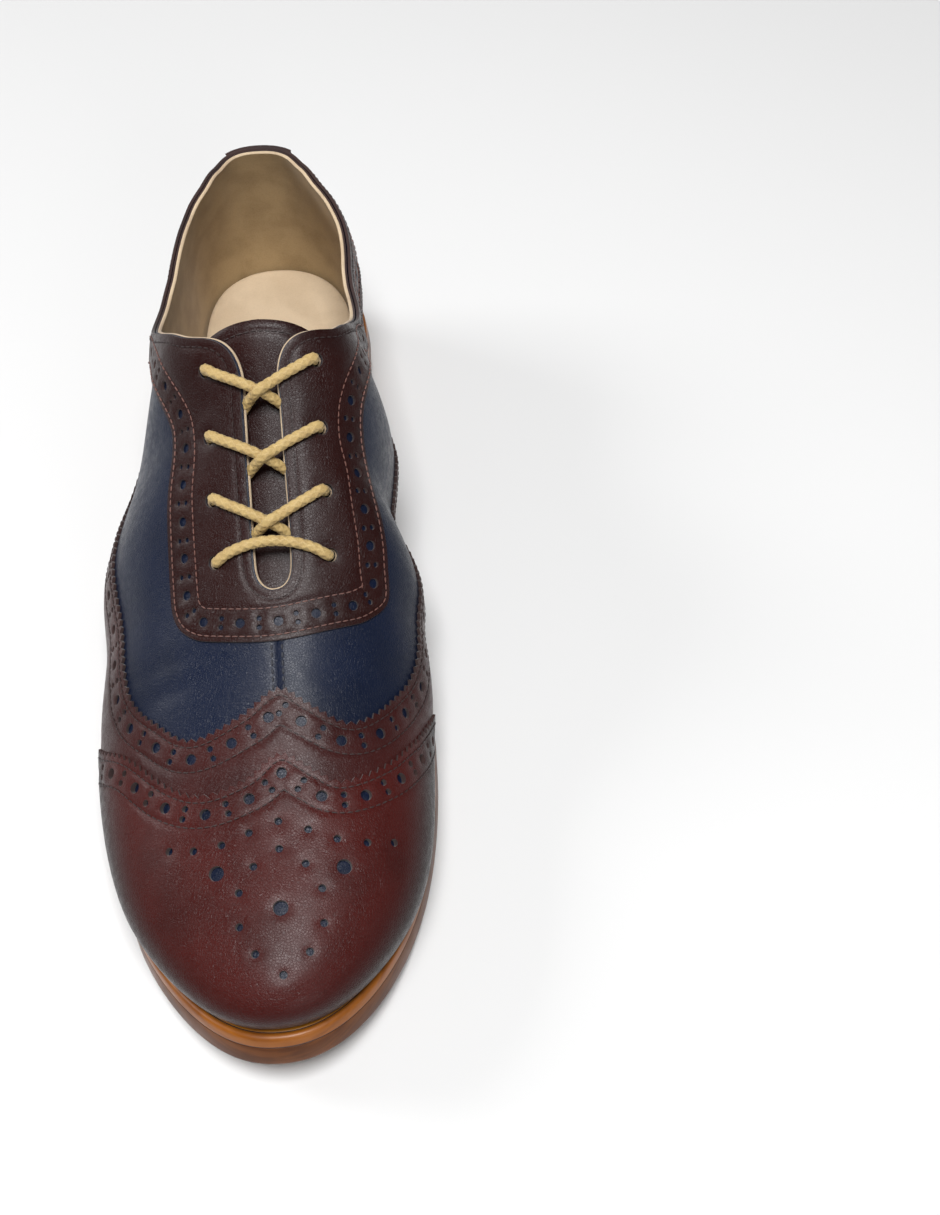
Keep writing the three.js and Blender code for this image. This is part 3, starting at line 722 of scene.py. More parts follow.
            first = np.zeros(len(spots), int)
            last = np.full(len(spots), len(fan.at) - 1)
            while (last - first).max() > 1:
                middle = (first + last) // 2
                before = lead(middle) < 0
                first = np.where(before, middle, first)
                last = np.where(before, last, middle)
            low, high = lead(first), lead(last)
            t = np.clip(-low / np.where(np.abs(high - low) < 1e-12, 1, high - low), 0, 1)
            at[chosen] = fan.at[first] + (fan.at[last] - fan.at[first]) * t
        cut = self.section(at, sides)
        share = np.linalg.norm(points - cut.foot, axis=-1) / (cut.reach * self.stretch)
        return cut, share

    def skin_at(self, points: Array) -> Array:
        """Return the skin's points under pattern points."""
        return self.skin(*self.from_pattern(points))

    def creases(self, cut: Cut, share: Array) -> Array:
        """Return the height of the soft creases, all below 0.

        Args:
            cut: Sections.
            share: Shares along the sections.

        Returns:
            The height of the soft creases, all below 0.
        """
        height = np.zeros(len(share))
        for at, lean, middle, length, width, depth in zip(*CREASES.column.values()):
            off = (cut.at - at - lean * share) * self.length / width
            along = np.clip(1 - ((share - middle) / length) ** 2, 0, 1)
            height -= depth * np.exp(-off * off) * along
        return height

    def ground(self, points: Array) -> Ground:
        """Return the skin's spots, slopes and normals under pattern points.

        Args:
            points: Pattern points.

        Returns:
            The skin's spots, slopes and normals under pattern points.
        """
        cut, share = self.from_pattern(points)
        spot = self.skin(cut, share)
        slopes = []
        for move in np.eye(2) * self.normal_step:
            change = self.skin_at(points + move) - self.skin_at(points - move)
            slopes.append(change / (2 * self.normal_step))
        normal = unit(np.cross(*slopes))
        fall = np.clip((share - 1) / (self.skirt - 1), 0, 1)
        normal[:, 2] *= 1 - fall
        return Ground(self, spot, *slopes, unit(normal), fall, self.creases(cut, share))

    def even(self, line: Array, step: float, closed: bool = False) -> Array:
        """Return a line with its points in even steps over the skin.

        Args:
            line: Pattern points.
            step: Length of a step.
            closed: Whether the line ends where it starts.

        Returns:
            The new pattern points, without the last one of a closed line.
        """
        if closed:
            line = np.vstack([line, line[:1]])
        lengths = np.linalg.norm(np.diff(self.skin_at(line), axis=0), axis=1)
        walk = np.concatenate([[0.0], np.cumsum(lengths)])
        marks = np.linspace(0, walk[-1], max(round(walk[-1] / step), 1) + 1)
        result = np.stack([np.interp(marks, walk, line[:, k]) for k in (0, 1)], axis=-1)
        return result[:-1] if closed else result

    def axes(self, line: Array, closed: bool = False) -> tuple[Ground, Array, Array]:
        """Return the ground under a line, with its direction and the direction to its left.

        Args:
            line: Pattern points in order.
            closed: Whether the line ends where it starts.

        Returns:
            The ground under a line, with its direction and the direction to its left.
        """
        ground = self.ground(line)
        if closed:
            ahead = np.roll(ground.spot, -1, axis=0) - np.roll(ground.spot, 1, axis=0)
        else:
            ahead = np.gradient(ground.spot, axis=0)
        ahead = unit(ahead - ground.normal * np.sum(ahead * ground.normal, axis=1, keepdims=True))
        return ground, ahead, np.cross(ground.normal, ahead)

    def offset(self, line: Array, distance: float, closed: bool = False) -> Array:
        """Return the line at a distance to the left over the skin, without its loops.

        Args:
            line: Pattern points in short even steps.
            distance: Distance, below 0 for the right.
            closed: Whether the line ends where it starts.

        Returns:
            The new pattern points.
        """
        steps = max(round(abs(distance)), 1)
        ground, _, left = self.axes(line, closed)
        start = ground.spot
        points = line
        for _ in range(steps):
            points = points + ground.flatten(left * distance / steps)
            ground = self.ground(points)
            left = unit(left - ground.normal * np.sum(left * ground.normal, axis=1, keepdims=True))
        return points[distances(ground.spot, start) > 0.95 * abs(distance)]

    def at_rise(self, at: Array, side: Side, rise: Array | float) -> Array:
        """Return the pattern points of sections at a height over the sole.

        Args:
            at: Stations.
            side: Side of the foot.
            rise: Height over the sole.

        Returns:
            The pattern points of sections at a height over the sole.
        """
        cut = self.section(at, side.value)
        low, high = np.zeros(cut.at.shape), np.ones(cut.at.shape)
        for _ in range(30):
            middle = (low + high) / 2
            spot = self.skin(cut, middle)
            above = spot[..., 2] - self.seat(self.station(spot[..., 1])) > rise
            low, high = np.where(above, middle, low), np.where(above, high, middle)
        return self.to_pattern(cut, (low + high) / 2)

    def at_distance(self, at: Array | float, side: Side, distance: Array | float) -> Array:
        """Return the pattern points at distances over the skin from the crown line.

        Args:
            at: Stations.
            side: Side of the foot.
            distance: Distances from the crown line.

        Returns:
            The pattern points at distances over the skin from the crown line.
        """
        at, distance = (np.atleast_1d(part) for part in np.broadcast_arrays(at, distance))
        shares = np.linspace(0, 1, 241)
        result = []
        for one, far in zip(at, distance):
            cut = self.section(np.full(len(shares), one), side.value)
            lengths = np.linalg.norm(np.diff(self.skin(cut, shares), axis=0), axis=1)
            walk = np.concatenate([[0.0], np.cumsum(lengths)])
            result.append(self.pattern(one, side, np.interp(far, walk, shares)))
        return np.array(result)

    def under(self, plan: Array) -> Array:
        """Return the pattern points whose skin lies under plan points.

        Args:
            plan: X and Y of the points.

        Returns:
            The pattern points whose skin lies under plan points.
        """
        points = plan.copy()
        for _ in range(12):
            ground = self.ground(points)
            slopes = np.stack([ground.slope_x[:, :2], ground.slope_y[:, :2]], axis=-1)
            points = points + np.linalg.solve(slopes, (plan - ground.spot[:, :2])[..., None])[..., 0]
        return points

    def foot_line(self, side: Side, start: float, end: float, share: float) -> Array:
        """Return the pattern line along the foot of the upper, from one station to another."""
        turn = np.linspace(math.acos(1 - 2 * start), math.acos(1 - 2 * end), 400)
        return self.pattern((1 - np.cos(turn)) / 2, side, share)


@dataclass
class Shape:
    """Points in millimetres, the faces between them and the finish of each face."""

    points: Array
    faces: list[Sequence[int]]
    finish: list[int] = field(default_factory=list)

    def __post_init__(self) -> None:
        """Give every face the first finish where none is named."""
        if not self.finish:
            self.finish = [0] * len(self.faces)

    def __add__(self, other: Shape) -> Shape:
        """Return both shapes in one.

        Args:
            other: The shape to add.

        Returns:
            Both shapes in one.
        """
        start = len(self.points)
        moved = [[i + start for i in face] for face in other.faces]
        points = np.vstack([self.points, other.points])
        return Shape(points, [*self.faces, *moved], [*self.finish, *other.finish])

    def weld(self, grid: float = 1e-4) -> Shape:
        """Return the shape with points that meet made one, and without its empty faces.

        Args:
            grid: Distance within which points meet.

        Returns:
            The shape with points that meet made one, and without its empty faces.
        """
        _, first, owner = np.unique(
            np.round(self.points / grid).astype(np.int64), axis=0, return_index=True, return_inverse=True
        )
        owner = owner.reshape(-1)
        faces, finish = [], []
        for face, kind in zip(self.faces, self.finish):
            corners = list(dict.fromkeys(int(owner[i]) for i in face))
            if len(corners) > 2:
                faces.append(corners)
                finish.append(kind)
        return Shape(self.points[first], faces, finish)

    def build(
        self, last: Last, name: str, materials: Sequence[bpy.types.Material], sharp: float = 38.0
    ) -> bpy.types.Object:
        """Make the mesh in the shared frame.

        Args:
            last: The last, whose origin the mesh is moved to.
            name: Name of the object.
            materials: Materials of the finishes.
            sharp: Angle in degrees above which an edge stays sharp.

        Returns:
            The object.
        """
        mesh = bpy.data.meshes.new(name)
        mesh.from_pydata(((self.points + last.origin) * MM).tolist(), [], self.faces)
        mesh.polygons.foreach_set("use_smooth", np.ones(len(mesh.polygons), bool))
        mesh.polygons.foreach_set("material_index", np.array(self.finish, np.int32))
        for material in materials:
            mesh.materials.append(material)
        mesh.set_sharp_from_angle(angle=math.radians(sharp))
        mesh.update()
        piece = bpy.data.objects.new(name, mesh)
        bpy.context.scene.collection.objects.link(piece)
        return piece


def grid_faces(rows: int, columns: int, closed: bool = False) -> list[list[int]]:
    """Return the quads between rows of points.

    Args:
        rows: Number of rows.
        columns: Number of points in a row.
        closed: Whether each row closes on itself.

    Returns:
        The faces.
    """
    faces = []
    for i in range(rows - 1):
        for j in range(columns if closed else columns - 1):
            k = (j + 1) % columns
            low, high = i * columns, (i + 1) * columns
            faces.append([low + j, low + k, high + k, high + j])
    return faces


@dataclass
class Leather:
    """A piece of leather cut in the flat pattern, with edges that round off over its thickness."""

    loops: Loops
    top: float
    bottom: float
    grooves: Loops = field(default_factory=list)
    spacing: float = 1.6
    edge_drop: float = 0.18
    edge_width: float = 0.9
    groove_depth: float = 0.3
    groove_width: float = 0.55
    bulge: float = 0.12
    wall_rows: int = 3

    def triangles(self) -> tuple[Array, Array]:
        """Return the pattern points of the piece and its triangles.

        Returns:
            The pattern points of the piece and its triangles.
        """
        fixed = np.vstack(self.loops)
        low, high = fixed.min(axis=0), fixed.max(axis=0)
        pitch = np.array([self.spacing, self.spacing * math.sqrt(3) / 2])
        columns, rows = (np.arange(math.ceil(n)) for n in (high - low) / pitch)
        x, y = np.meshgrid(columns, rows)
        lattice = np.stack([(x + 0.5 * (y % 2)) * pitch[0], y * pitch[1]], axis=-1).reshape(-1, 2) + low
        guides = np.vstack([fixed, *self.grooves])
        flat = np.column_stack([guides, np.zeros(len(guides))])
        room = distances(np.column_stack([lattice, np.zeros(len(lattice))]), flat)
        lattice = lattice[room > 0.5 * self.spacing]
        if self.grooves:
            groove = np.vstack(self.grooves)
            bounds = np.column_stack([fixed, np.zeros(len(fixed))])
            clear = distances(np.column_stack([groove, np.zeros(len(groove))]), bounds) > 0.25
            lattice = np.vstack([lattice, groove[clear]])
        edges = []
        start = 0
        for loop in self.loops:
            count = len(loop)
            edges.extend((start + i, start + (i + 1) % count) for i in range(count))
            start += count
        corners = [Vector(point) for point in np.vstack([fixed, lattice]).tolist()]
        found = delaunay_2d_cdt(corners, edges, [], 0, 1e-6)
        faces = np.array(found[2])
        points = np.array([tuple(corner) for corner in found[0]])
        faces = faces[self.contains(points[faces].mean(axis=1))]
        used, faces = np.unique(faces, return_inverse=True)
        return points[used], faces.reshape(-1, 3)

    def contains(self, spots: Array) -> Array:
        """Return which pattern points lie on leather: inside an odd number of the loops.

        Args:
            spots: Spots, one a row.

        Returns:
            Which pattern points lie on leather: inside an odd number of the loops.
        """
        inside = np.zeros(len(spots), bool)
        for loop in self.loops:
            low, high = loop.min(axis=0), loop.max(axis=0)
            near = np.flatnonzero(((spots > low) & (spots < high)).all(axis=1))
            x, y = spots[near].T
            for (ax, ay), (bx, by) in zip(loop, np.roll(loop, -1, axis=0)):
                if ay != by:
                    level = (ay > y) != (by > y)
                    inside[near] ^= level & (x < (bx - ax) * (y - ay) / (by - ay) + ax)
        return inside

    def shape(self, last: Last, lay: Callable[[Ground, Array], Array] = Ground.off) -> Shape:
        """Bend the piece over the last.

        Args:
            last: The last.
            lay: How a height over the ground becomes a point.

        Returns:
            The closed shape, with finish 0 on its face, 1 on its edge and 2 on its back.
        """
        points, faces = self.triangles()
        ground = last.ground(points)
        rim = last.skin_at(np.vstack(self.loops))
        gap = distances(ground.spot, rim)
        height = self.top - self.edge_drop * np.exp(-((gap / self.edge_width) ** 2))
        if self.grooves:
            line = last.skin_at(np.vstack(self.grooves[:: 3]))
            height -= self.groove_depth * np.exp(-((distances(ground.spot, line) / self.groove_width) ** 2))
        upper, lower = lay(ground, height), lay(ground, np.full(len(points), self.bottom))
        a, b, c = (upper[faces[:, k]] for k in range(3))
        up = np.sum(np.cross(b - a, c - a) * ground.normal[faces[:, 0]], axis=1) < 0
        faces[up] = faces[up][:, ::-1]
        directed = np.vstack([faces[:, [0, 1]], faces[:, [1, 2]], faces[:, [2, 0]]])
        keys = directed[:, 0].astype(np.int64) * len(points) + directed[:, 1]
        back = directed[:, 1].astype(np.int64) * len(points) + directed[:, 0]
        rims = directed[~np.isin(keys, back)]
        verge, place = np.unique(rims, return_inverse=True)
        place = place.reshape(-1, 2)
        ahead = np.zeros((len(verge), 3))
        step = unit(upper[rims[:, 1]] - upper[rims[:, 0]])
        for k in (0, 1):
            np.add.at(ahead, place[:, k], step)
        outward = unit(np.cross(unit(ahead), ground.normal[verge]))
        count = len(points)
        rings = [verge]
        extra = []
        for row in range(1, self.wall_rows):
            t = row / self.wall_rows
            spots = upper[verge] * (1 - t) + lower[verge] * t
            extra.append(spots + outward * self.bulge * math.sin(math.pi * t))
            rings.append(np.arange(len(verge)) + 2 * count + (row - 1) * len(verge))
        rings.append(verge + count)
        walls = []
        for high, low in zip(rings[:-1], rings[1:]):
            start, end = place.T
            quads = np.column_stack([high[start], low[start], low[end], high[end]])
            walls.extend(quads.tolist())
        under = (faces[:, ::-1] + count).tolist()
        result = [*faces.tolist(), *walls, *under]
        finish = [0] * len(faces) + [1] * len(walls) + [2] * len(under)
        return Shape(np.vstack([upper, lower, *extra]), result, finish)


@dataclass
class Seam:
    """A row of stitches along a line of the pattern."""

    line: Array
    height: float
    closed: bool = False
    pitch: float = 2.1
    length: float = 1.6
    width: float = 0.4
    rise: float = 0.26

    def shape(self, last: Last, lay: Callable[[Ground, Array], Array] = Ground.off) -> Shape:
        """Return the stitches as one shape of low rounded bars.

        Args:
            last: The last.
            lay: How a height over the ground becomes a point.

        Returns:
            The stitches as one shape of low rounded bars.
        """
        marks = last.even(self.line, self.pitch, self.closed)
        ground, ahead, left = last.axes(marks, self.closed)
        centre = lay(ground, np.full(len(marks), self.height))
        u = np.linspace(-0.5, 0.5, 5)
        full = np.sqrt(1 - (1.8 * u) ** 2)
        turn = 2 * math.pi * np.arange(6) / 6
        along = np.repeat(u * self.length, 6)
        across = (full[:, None] * np.cos(turn)).reshape(-1) * self.width / 2
        up = (full[:, None] * np.sin(turn)).reshape(-1) * self.rise
        parts = along[:, None] * ahead[:, None] + across[:, None] * left[:, None]
        points = centre[:, None] + parts + up[:, None] * ground.normal[:, None]
        quads = np.array(grid_faces(5, 6, True))
        starts = np.arange(len(marks))[:, None, None] * 30
        faces = (quads[None] + starts).reshape(-1, 4).tolist()
        for start in range(0, 30 * len(marks), 30):
            faces.append(list(range(start + 5, start - 1, -1)))
            faces.append(list(range(start + 24, start + 30)))
        return Shape(points.reshape(-1, 3), faces)


@dataclass
class HoleRow:
    """A row of large holes with a pair of small ones between each two."""

    pitch: float = 12.6
    large: float = 1.6
    small: float = 0.95
    parted: float = 1.45
    margin: float = 3.0

    def circles(self, last: Last, centres: Array, radius: Array | float, sides: int) -> Loops:
        """Return round holes in the pattern, at centres given in the pattern.

        Args:
            last: The last.
            centres: Middles of the holes.
            radius: Radius of one or of each hole.
            sides: Number of sides of each hole.

        Returns:
            Round holes in the pattern, at centres given in the pattern.
        """
        ground = last.ground(centres)
        first = unit(ground.slope_x)
        second = np.cross(ground.normal, first)
        radii = np.broadcast_to(radius, len(centres))
        loops = []
        for turn in 2 * math.pi * np.arange(sides) / sides:
            move = (first * math.cos(turn) + second * math.sin(turn)) * radii[:, None]
            loops.append(centres + ground.flatten(move))
        return list(np.stack(loops, axis=1))

    def loops(self, last: Last, line: Array, closed: bool = False, middle: float | None = None) -> Loops:
        """Punch the row along a line.

        Args:
            last: The last.
            line: Pattern points.
            closed: Whether the line ends where it starts.
            middle: Share of the line's length where a large hole goes.

        Returns:
            The outlines of the holes.
        """
        dense = last.even(line, 0.25, closed)
        spots = last.skin_at(np.vstack([dense, dense[:1]]) if closed else dense)
        total = np.linalg.norm(np.diff(spots, axis=0), axis=1).sum()
        pitch = total / round(total / self.pitch) if closed else self.pitch
        centre = total * (0.5 if middle is None else middle)
        if closed:
            marks = (centre + pitch * np.arange(round(total / pitch))) % total
            pairs = (marks + pitch / 2) % total
        else:
            count = int(total / pitch) + 2
            marks = centre + pitch * np.arange(-count, count + 1)
            pairs = marks + pitch / 2
            marks, pairs = (row[(row > self.margin) & (row < total - self.margin)] for row in (marks, pairs))

        def index(row: Array) -> Array:
            """Return the numbers of the line's points at lengths along it."""
            return np.minimum(np.round(row / total * (len(dense) - 1)).astype(int), len(dense) - 1)

        ground, _, left = last.axes(dense, closed)
        result = self.circles(last, dense[index(marks)], self.large, 18)
        chosen = index(pairs)
        for way in (-1, 1):
            moves = ground.flatten(left * self.parted * way)
            result += self.circles(last, (dense + moves)[chosen], self.small, 12)
        return result


def furrow(last: Last, line: Array, closed: bool = False, width: float = 0.75) -> Loops:
    """Return the three guide lines of a groove: its bottom and its two banks.

    Args:
        last: The last.
        line: Pattern points in order.
        closed: Whether the line ends where it starts.
        width: Distance of the banks from the bottom.

    Returns:
        The three guide lines of a groove: its bottom and its two banks.
    """
    even = last.even(line, 1.1, closed)
    ground, _, left = last.axes(even, closed)
    return [even, *(even + ground.flatten(left * width * way) for way in (-1, 1))]


class Socket:
    """A shader value on which Python's operators add Math nodes."""

    def __init__(self, graph: "Graph", link: bpy.types.NodeSocket) -> None:
        """Wrap an output socket of a graph."""
        self.graph = graph
        self.link = link

    def _maths(self, operation: str, first: "Socket | float", second: "Socket | float") -> "Socket":
        """Add one Math node and return its value."""
        return self.graph.node("ShaderNodeMath", {"operation": operation}, {0: first, 1: second})

    def __add__(self, other: "Socket | float") -> "Socket":
        """Add."""
        return self._maths("ADD", self, other)

    def __radd__(self, other: "Socket | float") -> "Socket":
        """Add from the left."""
        return self._maths("ADD", other, self)

    def __sub__(self, other: "Socket | float") -> "Socket":
        """Subtract."""
        return self._maths("SUBTRACT", self, other)

    def __rsub__(self, other: "Socket | float") -> "Socket":
        """Subtract from the left."""
        return self._maths("SUBTRACT", other, self)

    def __mul__(self, other: "Socket | float") -> "Socket":
        """Multiply."""
        return self._maths("MULTIPLY", self, other)

    def __rmul__(self, other: "Socket | float") -> "Socket":
        """Multiply from the left."""
        return self._maths("MULTIPLY", other, self)

    def __pow__(self, other: "Socket | float") -> "Socket":
        """Raise to a power."""
        return self._maths("POWER", self, other)


class Graph:
    """The node tree of one material."""

    def __init__(self, name: str) -> None:
        """Make an empty material with a Principled shader.

        Args:
            name: Name of the material.
        """
        self.material = bpy.data.materials.new(name)
        self.material.use_nodes = True
        self.tree = self.material.node_tree
        self.tree.nodes.clear()
        self.shader = self.tree.nodes.new("ShaderNodeBsdfPrincipled")
        output = self.tree.nodes.new("ShaderNodeOutputMaterial")
        self.tree.links.new(self.shader.outputs["BSDF"], output.inputs["Surface"])
        coordinates = self.tree.nodes.new("ShaderNodeTexCoord")
        self.place = Socket(self, coordinates.outputs["Object"])

    def node(self, kind: str, settings: dict, inputs: dict, output: int | str = 0) -> Socket:
        """Add a node.

        Args:
            kind: Type of the node.
            settings: Its properties, which are set first.
            inputs: Values or links of its sockets, by name or number.
            output: Name or number of the output that is wanted.

        Returns:
            The wrapped output.
        """
        node = self.tree.nodes.new(kind)
        for key, value in settings.items():
            setattr(node, key, value)
        for key, value in inputs.items():
            self.feed(node.inputs[key], value)
        return Socket(self, node.outputs[output])

    def feed(self, target: bpy.types.NodeSocket, value: object) -> None:
        """Link a wrapped socket to an input, or set the input to a plain value."""
        if isinstance(value, Socket):
            self.tree.links.new(value.link, target)
        elif isinstance(value, tuple) and len(value) == 3 and target.type == "RGBA":
            target.default_value = (*value, 1.0)
        else:
            target.default_value = value

    def scaled(self, x: float, y: float, z: float) -> Socket:
        """Return the place on the shoe, scaled along each axis, for streaks."""
        inputs = {0: self.place, 1: (x, y, z)}
        return self.node("ShaderNodeVectorMath", {"operation": "MULTIPLY"}, inputs)

    def noise(self, size: float, detail: float = 3.0, place: Socket | None = None) -> Socket:
        """Return soft noise with spots of a size in millimetres."""
        inputs = {"Vector": place or self.place, "Scale": 1 / (size * MM), "Detail": detail}
        return self.node("ShaderNodeTexNoise", {}, inputs, "Fac")

    def cells(self, size: float) -> Socket:
        """Return the distance to the edges of cells of a size in millimetres."""
        inputs = {"Vector": self.place, "Scale": 1 / (size * MM)}
        return self.node("ShaderNodeTexVoronoi", {"feature": "DISTANCE_TO_EDGE"}, inputs, "Distance")

    def ramp(self, value: Socket, low: float, high: float, start: float = 0.0, end: float = 1.0) -> Socket:
        """Return a smooth change from a start to an end between a low and a high value."""
        inputs = {"Value": value, "From Min": low, "From Max": high, "To Min": start, "To Max": end}
        return self.node("ShaderNodeMapRange", {"interpolation_type": "SMOOTHSTEP"}, inputs)

    def mix(self, share: Socket | float, first: Socket | Colour, second: Socket | Colour) -> Socket:
        """Return a blend of two colours."""
        inputs = {0: share, 6: first, 7: second}
        return self.node("ShaderNodeMix", {"data_type": "RGBA"}, inputs, 2)

    def coordinate(self, axis: str) -> Socket:
        """Return one coordinate of the place on the shoe, in metres."""
        return self.node("ShaderNodeSeparateXYZ", {}, {0: self.place}, axis)

    def bump(self, height: Socket, depth: float) -> Socket:
        """Return a normal with bumps of a depth in millimetres."""
        inputs = {"Strength": 1.0, "Distance": depth * MM, "Height": height}
        return self.node("ShaderNodeBump", {}, inputs, "Normal")

    def finish(self, **sockets: object) -> bpy.types.Material:
        """Feed the shader's sockets, named with _ for a space, and return the material."""
        for key, value in sockets.items():
            self.feed(self.shader.inputs[key.replace("_", " ")], value)
        return self.material


@dataclass(frozen=True)
class LeatherFinish:
    """Polished leather with a fine grain and darker burnished spots; with a height set, also darker towards its
    foot, partly burnish and partly painted shade.
    """

    name: str
    base: Colour
    burnish_and_shade: Colour
    grain_size: float = 0.75
    grain_depth: float = 0.12
    roughness: float = 0.34
    specular: float = 0.16
    coat: float = 0.07
    coat_roughness: float = 0.25
    # Heights in mm over which the piece darkens towards its foot: partly burnish, partly painted shade where the
    # foot reflects little light
    burnish_and_shade_height: float = 0.0
    burnish_and_shade_foot: float = 24.0
    mottle: float = 0.35

    def material(self) -> bpy.types.Material:
        """Make the material.

        Returns:
            The material.
        """
        graph = Graph(self.name)
        cloud = graph.noise(26.0, 3.0)
        tone = graph.ramp(cloud, 0.35, 0.7, 0.0, self.mottle)
        # Darker towards the foot: partly burnish, partly painted shade
        if self.burnish_and_shade_height:
            ends = (self.burnish_and_shade_foot * MM, self.burnish_and_shade_height * MM)
            low = graph.ramp(graph.coordinate("Z"), *ends, 0.97, 0.0)
            tone = graph.node("ShaderNodeMath", {"operation": "MAXIMUM"}, {0: tone, 1: low})
        colour = graph.mix(tone, self.base, self.burnish_and_shade)
        pores = graph.ramp(graph.cells(self.grain_size), 0.0, 0.16)
        fine = graph.noise(self.grain_size * 0.45, 2.0)
        wrinkle = graph.noise(self.grain_size * 3.2, 4.0)
        height = pores * 0.4 + fine * 0.55 + wrinkle * 0.8
        # Pores darken towards the dark colour, which at the foot also holds the painted shade
        grain_tone_and_shade = graph.mix(graph.ramp(pores, 0.0, 0.7, 0.25, 0.0), colour, self.burnish_and_shade)
        rough = self.roughness + graph.ramp(wrinkle, 0.35, 0.65, -0.05, 0.07)
        return graph.finish(
            Base_Color=grain_tone_and_shade,
            Roughness=rough,
            Normal=graph.bump(height, self.grain_depth),
            Specular_IOR_Level=self.specular,
            Coat_Weight=self.coat,
            Coat_Roughness=self.coat_roughness,
        )


@dataclass(frozen=True)
class SuedeFinish:
    """Matte leather with a short nap, for linings and for near-black edges whose colour is partly painted shade.
    """

    name: str
    base: Colour
    shade: Colour
    nap_size: float = 0.5
    nap_depth: float = 0.06
    roughness: float = 0.85

    def material(self) -> bpy.types.Material:
        """Make the material.

        Returns:
            The material.
        """
        graph = Graph(self.name)
        cloud = graph.noise(14.0, 4.0)
        nap = graph.noise(self.nap_size, 3.0)
        share = graph.ramp(cloud, 0.4, 0.66) * 0.55 + graph.ramp(nap, 0.4, 0.7) * 0.25
        return graph.finish(
            Base_Color=graph.mix(share, self.base, self.shade),
            Roughness=self.roughness,
            Normal=graph.bump(nap, self.nap_depth),
            Sheen_Weight=0.15,
        )


@dataclass(frozen=True)
class EdgeFinish:
    """Waxed edge of stacked sole leather with faint layer lines."""

    name: str
    base: Colour
    shade: Colour
    layer: float = 1.7
    layer_depth: float = 0.05
    roughness: float = 0.4
    coat: float = 0.1

    def material(self) -> bpy.types.Material:
        """Make the material.

        Returns:
            The material.
        """
        graph = Graph(self.name)
        streaks = graph.noise(1.0, 3.0, graph.scaled(0.05, 0.05, 1 / self.layer))
        cloud = graph.noise(9.0, 3.0)
        fibre = graph.noise(0.35, 2.0)
        share = graph.ramp(streaks, 0.42, 0.6) * 0.55 + graph.ramp(cloud, 0.4, 0.7) * 0.3
        return graph.finish(
            Base_Color=graph.mix(share, self.base, self.shade),
            Roughness=self.roughness + graph.ramp(cloud, 0.3, 0.7, -0.04, 0.08),
            Normal=graph.bump(streaks + fibre * 0.4, self.layer_depth),
            Specular_IOR_Level=0.3,
            Coat_Weight=self.coat,
            Coat_Roughness=0.25,
        )


@dataclass(frozen=True)
class GrainedSoleFinish:
    """Sole leather with dark streaks along the shoe, like planed wood."""

    name: str
    base: Colour
    shade: Colour
    roughness: float = 0.38

    def material(self) -> bpy.types.Material:
        """Make the material.

        Returns:
            The material.
        """
        graph = Graph(self.name)
        broad = graph.noise(5.0, 3.0, graph.scaled(1.0, 0.06, 1.0))
        thin = graph.noise(1.1, 4.0, graph.scaled(1.0, 0.035, 1.0))
        share = graph.ramp(broad, 0.38, 0.62) * 0.55 + graph.ramp(thin, 0.42, 0.62) * 0.45
        return graph.finish(
            Base_Color=graph.mix(share, self.base, self.shade),
            Roughness=self.roughness + graph.ramp(thin, 0.3, 0.7, -0.05, 0.1),
            Normal=graph.bump(thin, 0.05),
            Coat_Weight=0.2,
            Coat_Roughness=0.3,
        )


@dataclass(frozen=True)
class ThreadFinish:
    """Waxed thread or cord with fine fibres."""

    name: str
    base: Colour
    shade: Colour
    fibre: float = 0.25
    roughness: float = 0.6

    def material(self) -> bpy.types.Material:
        """Make the material.

        Returns:
            The material.
        """
        graph = Graph(self.name)
        fibre = graph.noise(self.fibre, 3.0)
        patch = graph.noise(3.0, 2.0)
        share = graph.ramp(fibre, 0.38, 0.68) * 0.6 + graph.ramp(patch, 0.4, 0.7) * 0.3
        return graph.finish(
            Base_Color=graph.mix(share, self.base, self.shade),
            Roughness=self.roughness,
            Normal=graph.bump(fibre, 0.04),
            Sheen_Weight=0.1,
        )


NAVY = LeatherFinish("navy_calf", (0.0055, 0.01, 0.029), (0.003, 0.005, 0.012), mottle=0.4)
# The toe cap turns almost black towards its foot: partly burnish, partly painted shade
CAP_RED = LeatherFinish("cap_calf", (0.058, 0.0075, 0.006), (0.004, 0.001, 0.001), burnish_and_shade_height=41.0)
OXBLOOD = LeatherFinish("oxblood_calf", (0.045, 0.0085, 0.0075), (0.016, 0.0035, 0.0035), mottle=0.6)
DARK = LeatherFinish("dark_calf", (0.02, 0.0045, 0.0038), (0.008, 0.0025, 0.0025), grain_depth=0.11)
LINING = SuedeFinish("lining_suede", (0.38, 0.265, 0.13), (0.24, 0.155, 0.065))
SOCK = SuedeFinish("sock_leather", (0.62, 0.49, 0.34), (0.5, 0.38, 0.25), nap_depth=0.03, roughness=0.6)
RIM = SuedeFinish("cream_edge", (0.58, 0.45, 0.3), (0.36, 0.25, 0.16), nap_depth=0.1)
# Near-black cut edges, welt groove and seam lines: partly the edges' own dark colour, partly painted shade
# between the pinked teeth and in the groove
DARK_EDGE_AND_SHADE = SuedeFinish("dark_edge_and_shade", (0.03, 0.01, 0.008), (0.012, 0.005, 0.005), nap_depth=0.1)
WELT_TOP = EdgeFinish("welt_top", (0.36, 0.14, 0.012), (0.24, 0.08, 0.007), layer_depth=0.03)
WELT_EDGE = EdgeFinish("welt_edge", (0.27, 0.085, 0.008), (0.17, 0.048, 0.005))
SOLE_EDGE = EdgeFinish("sole_edge", (0.125, 0.037, 0.005), (0.06, 0.016, 0.0025))
HEEL_EDGE = EdgeFinish("heel_edge", (0.27, 0.1, 0.016), (0.16, 0.052, 0.009))
SOLE_FACE = GrainedSoleFinish("sole_face", (0.2, 0.085, 0.035), (0.05, 0.02, 0.012))
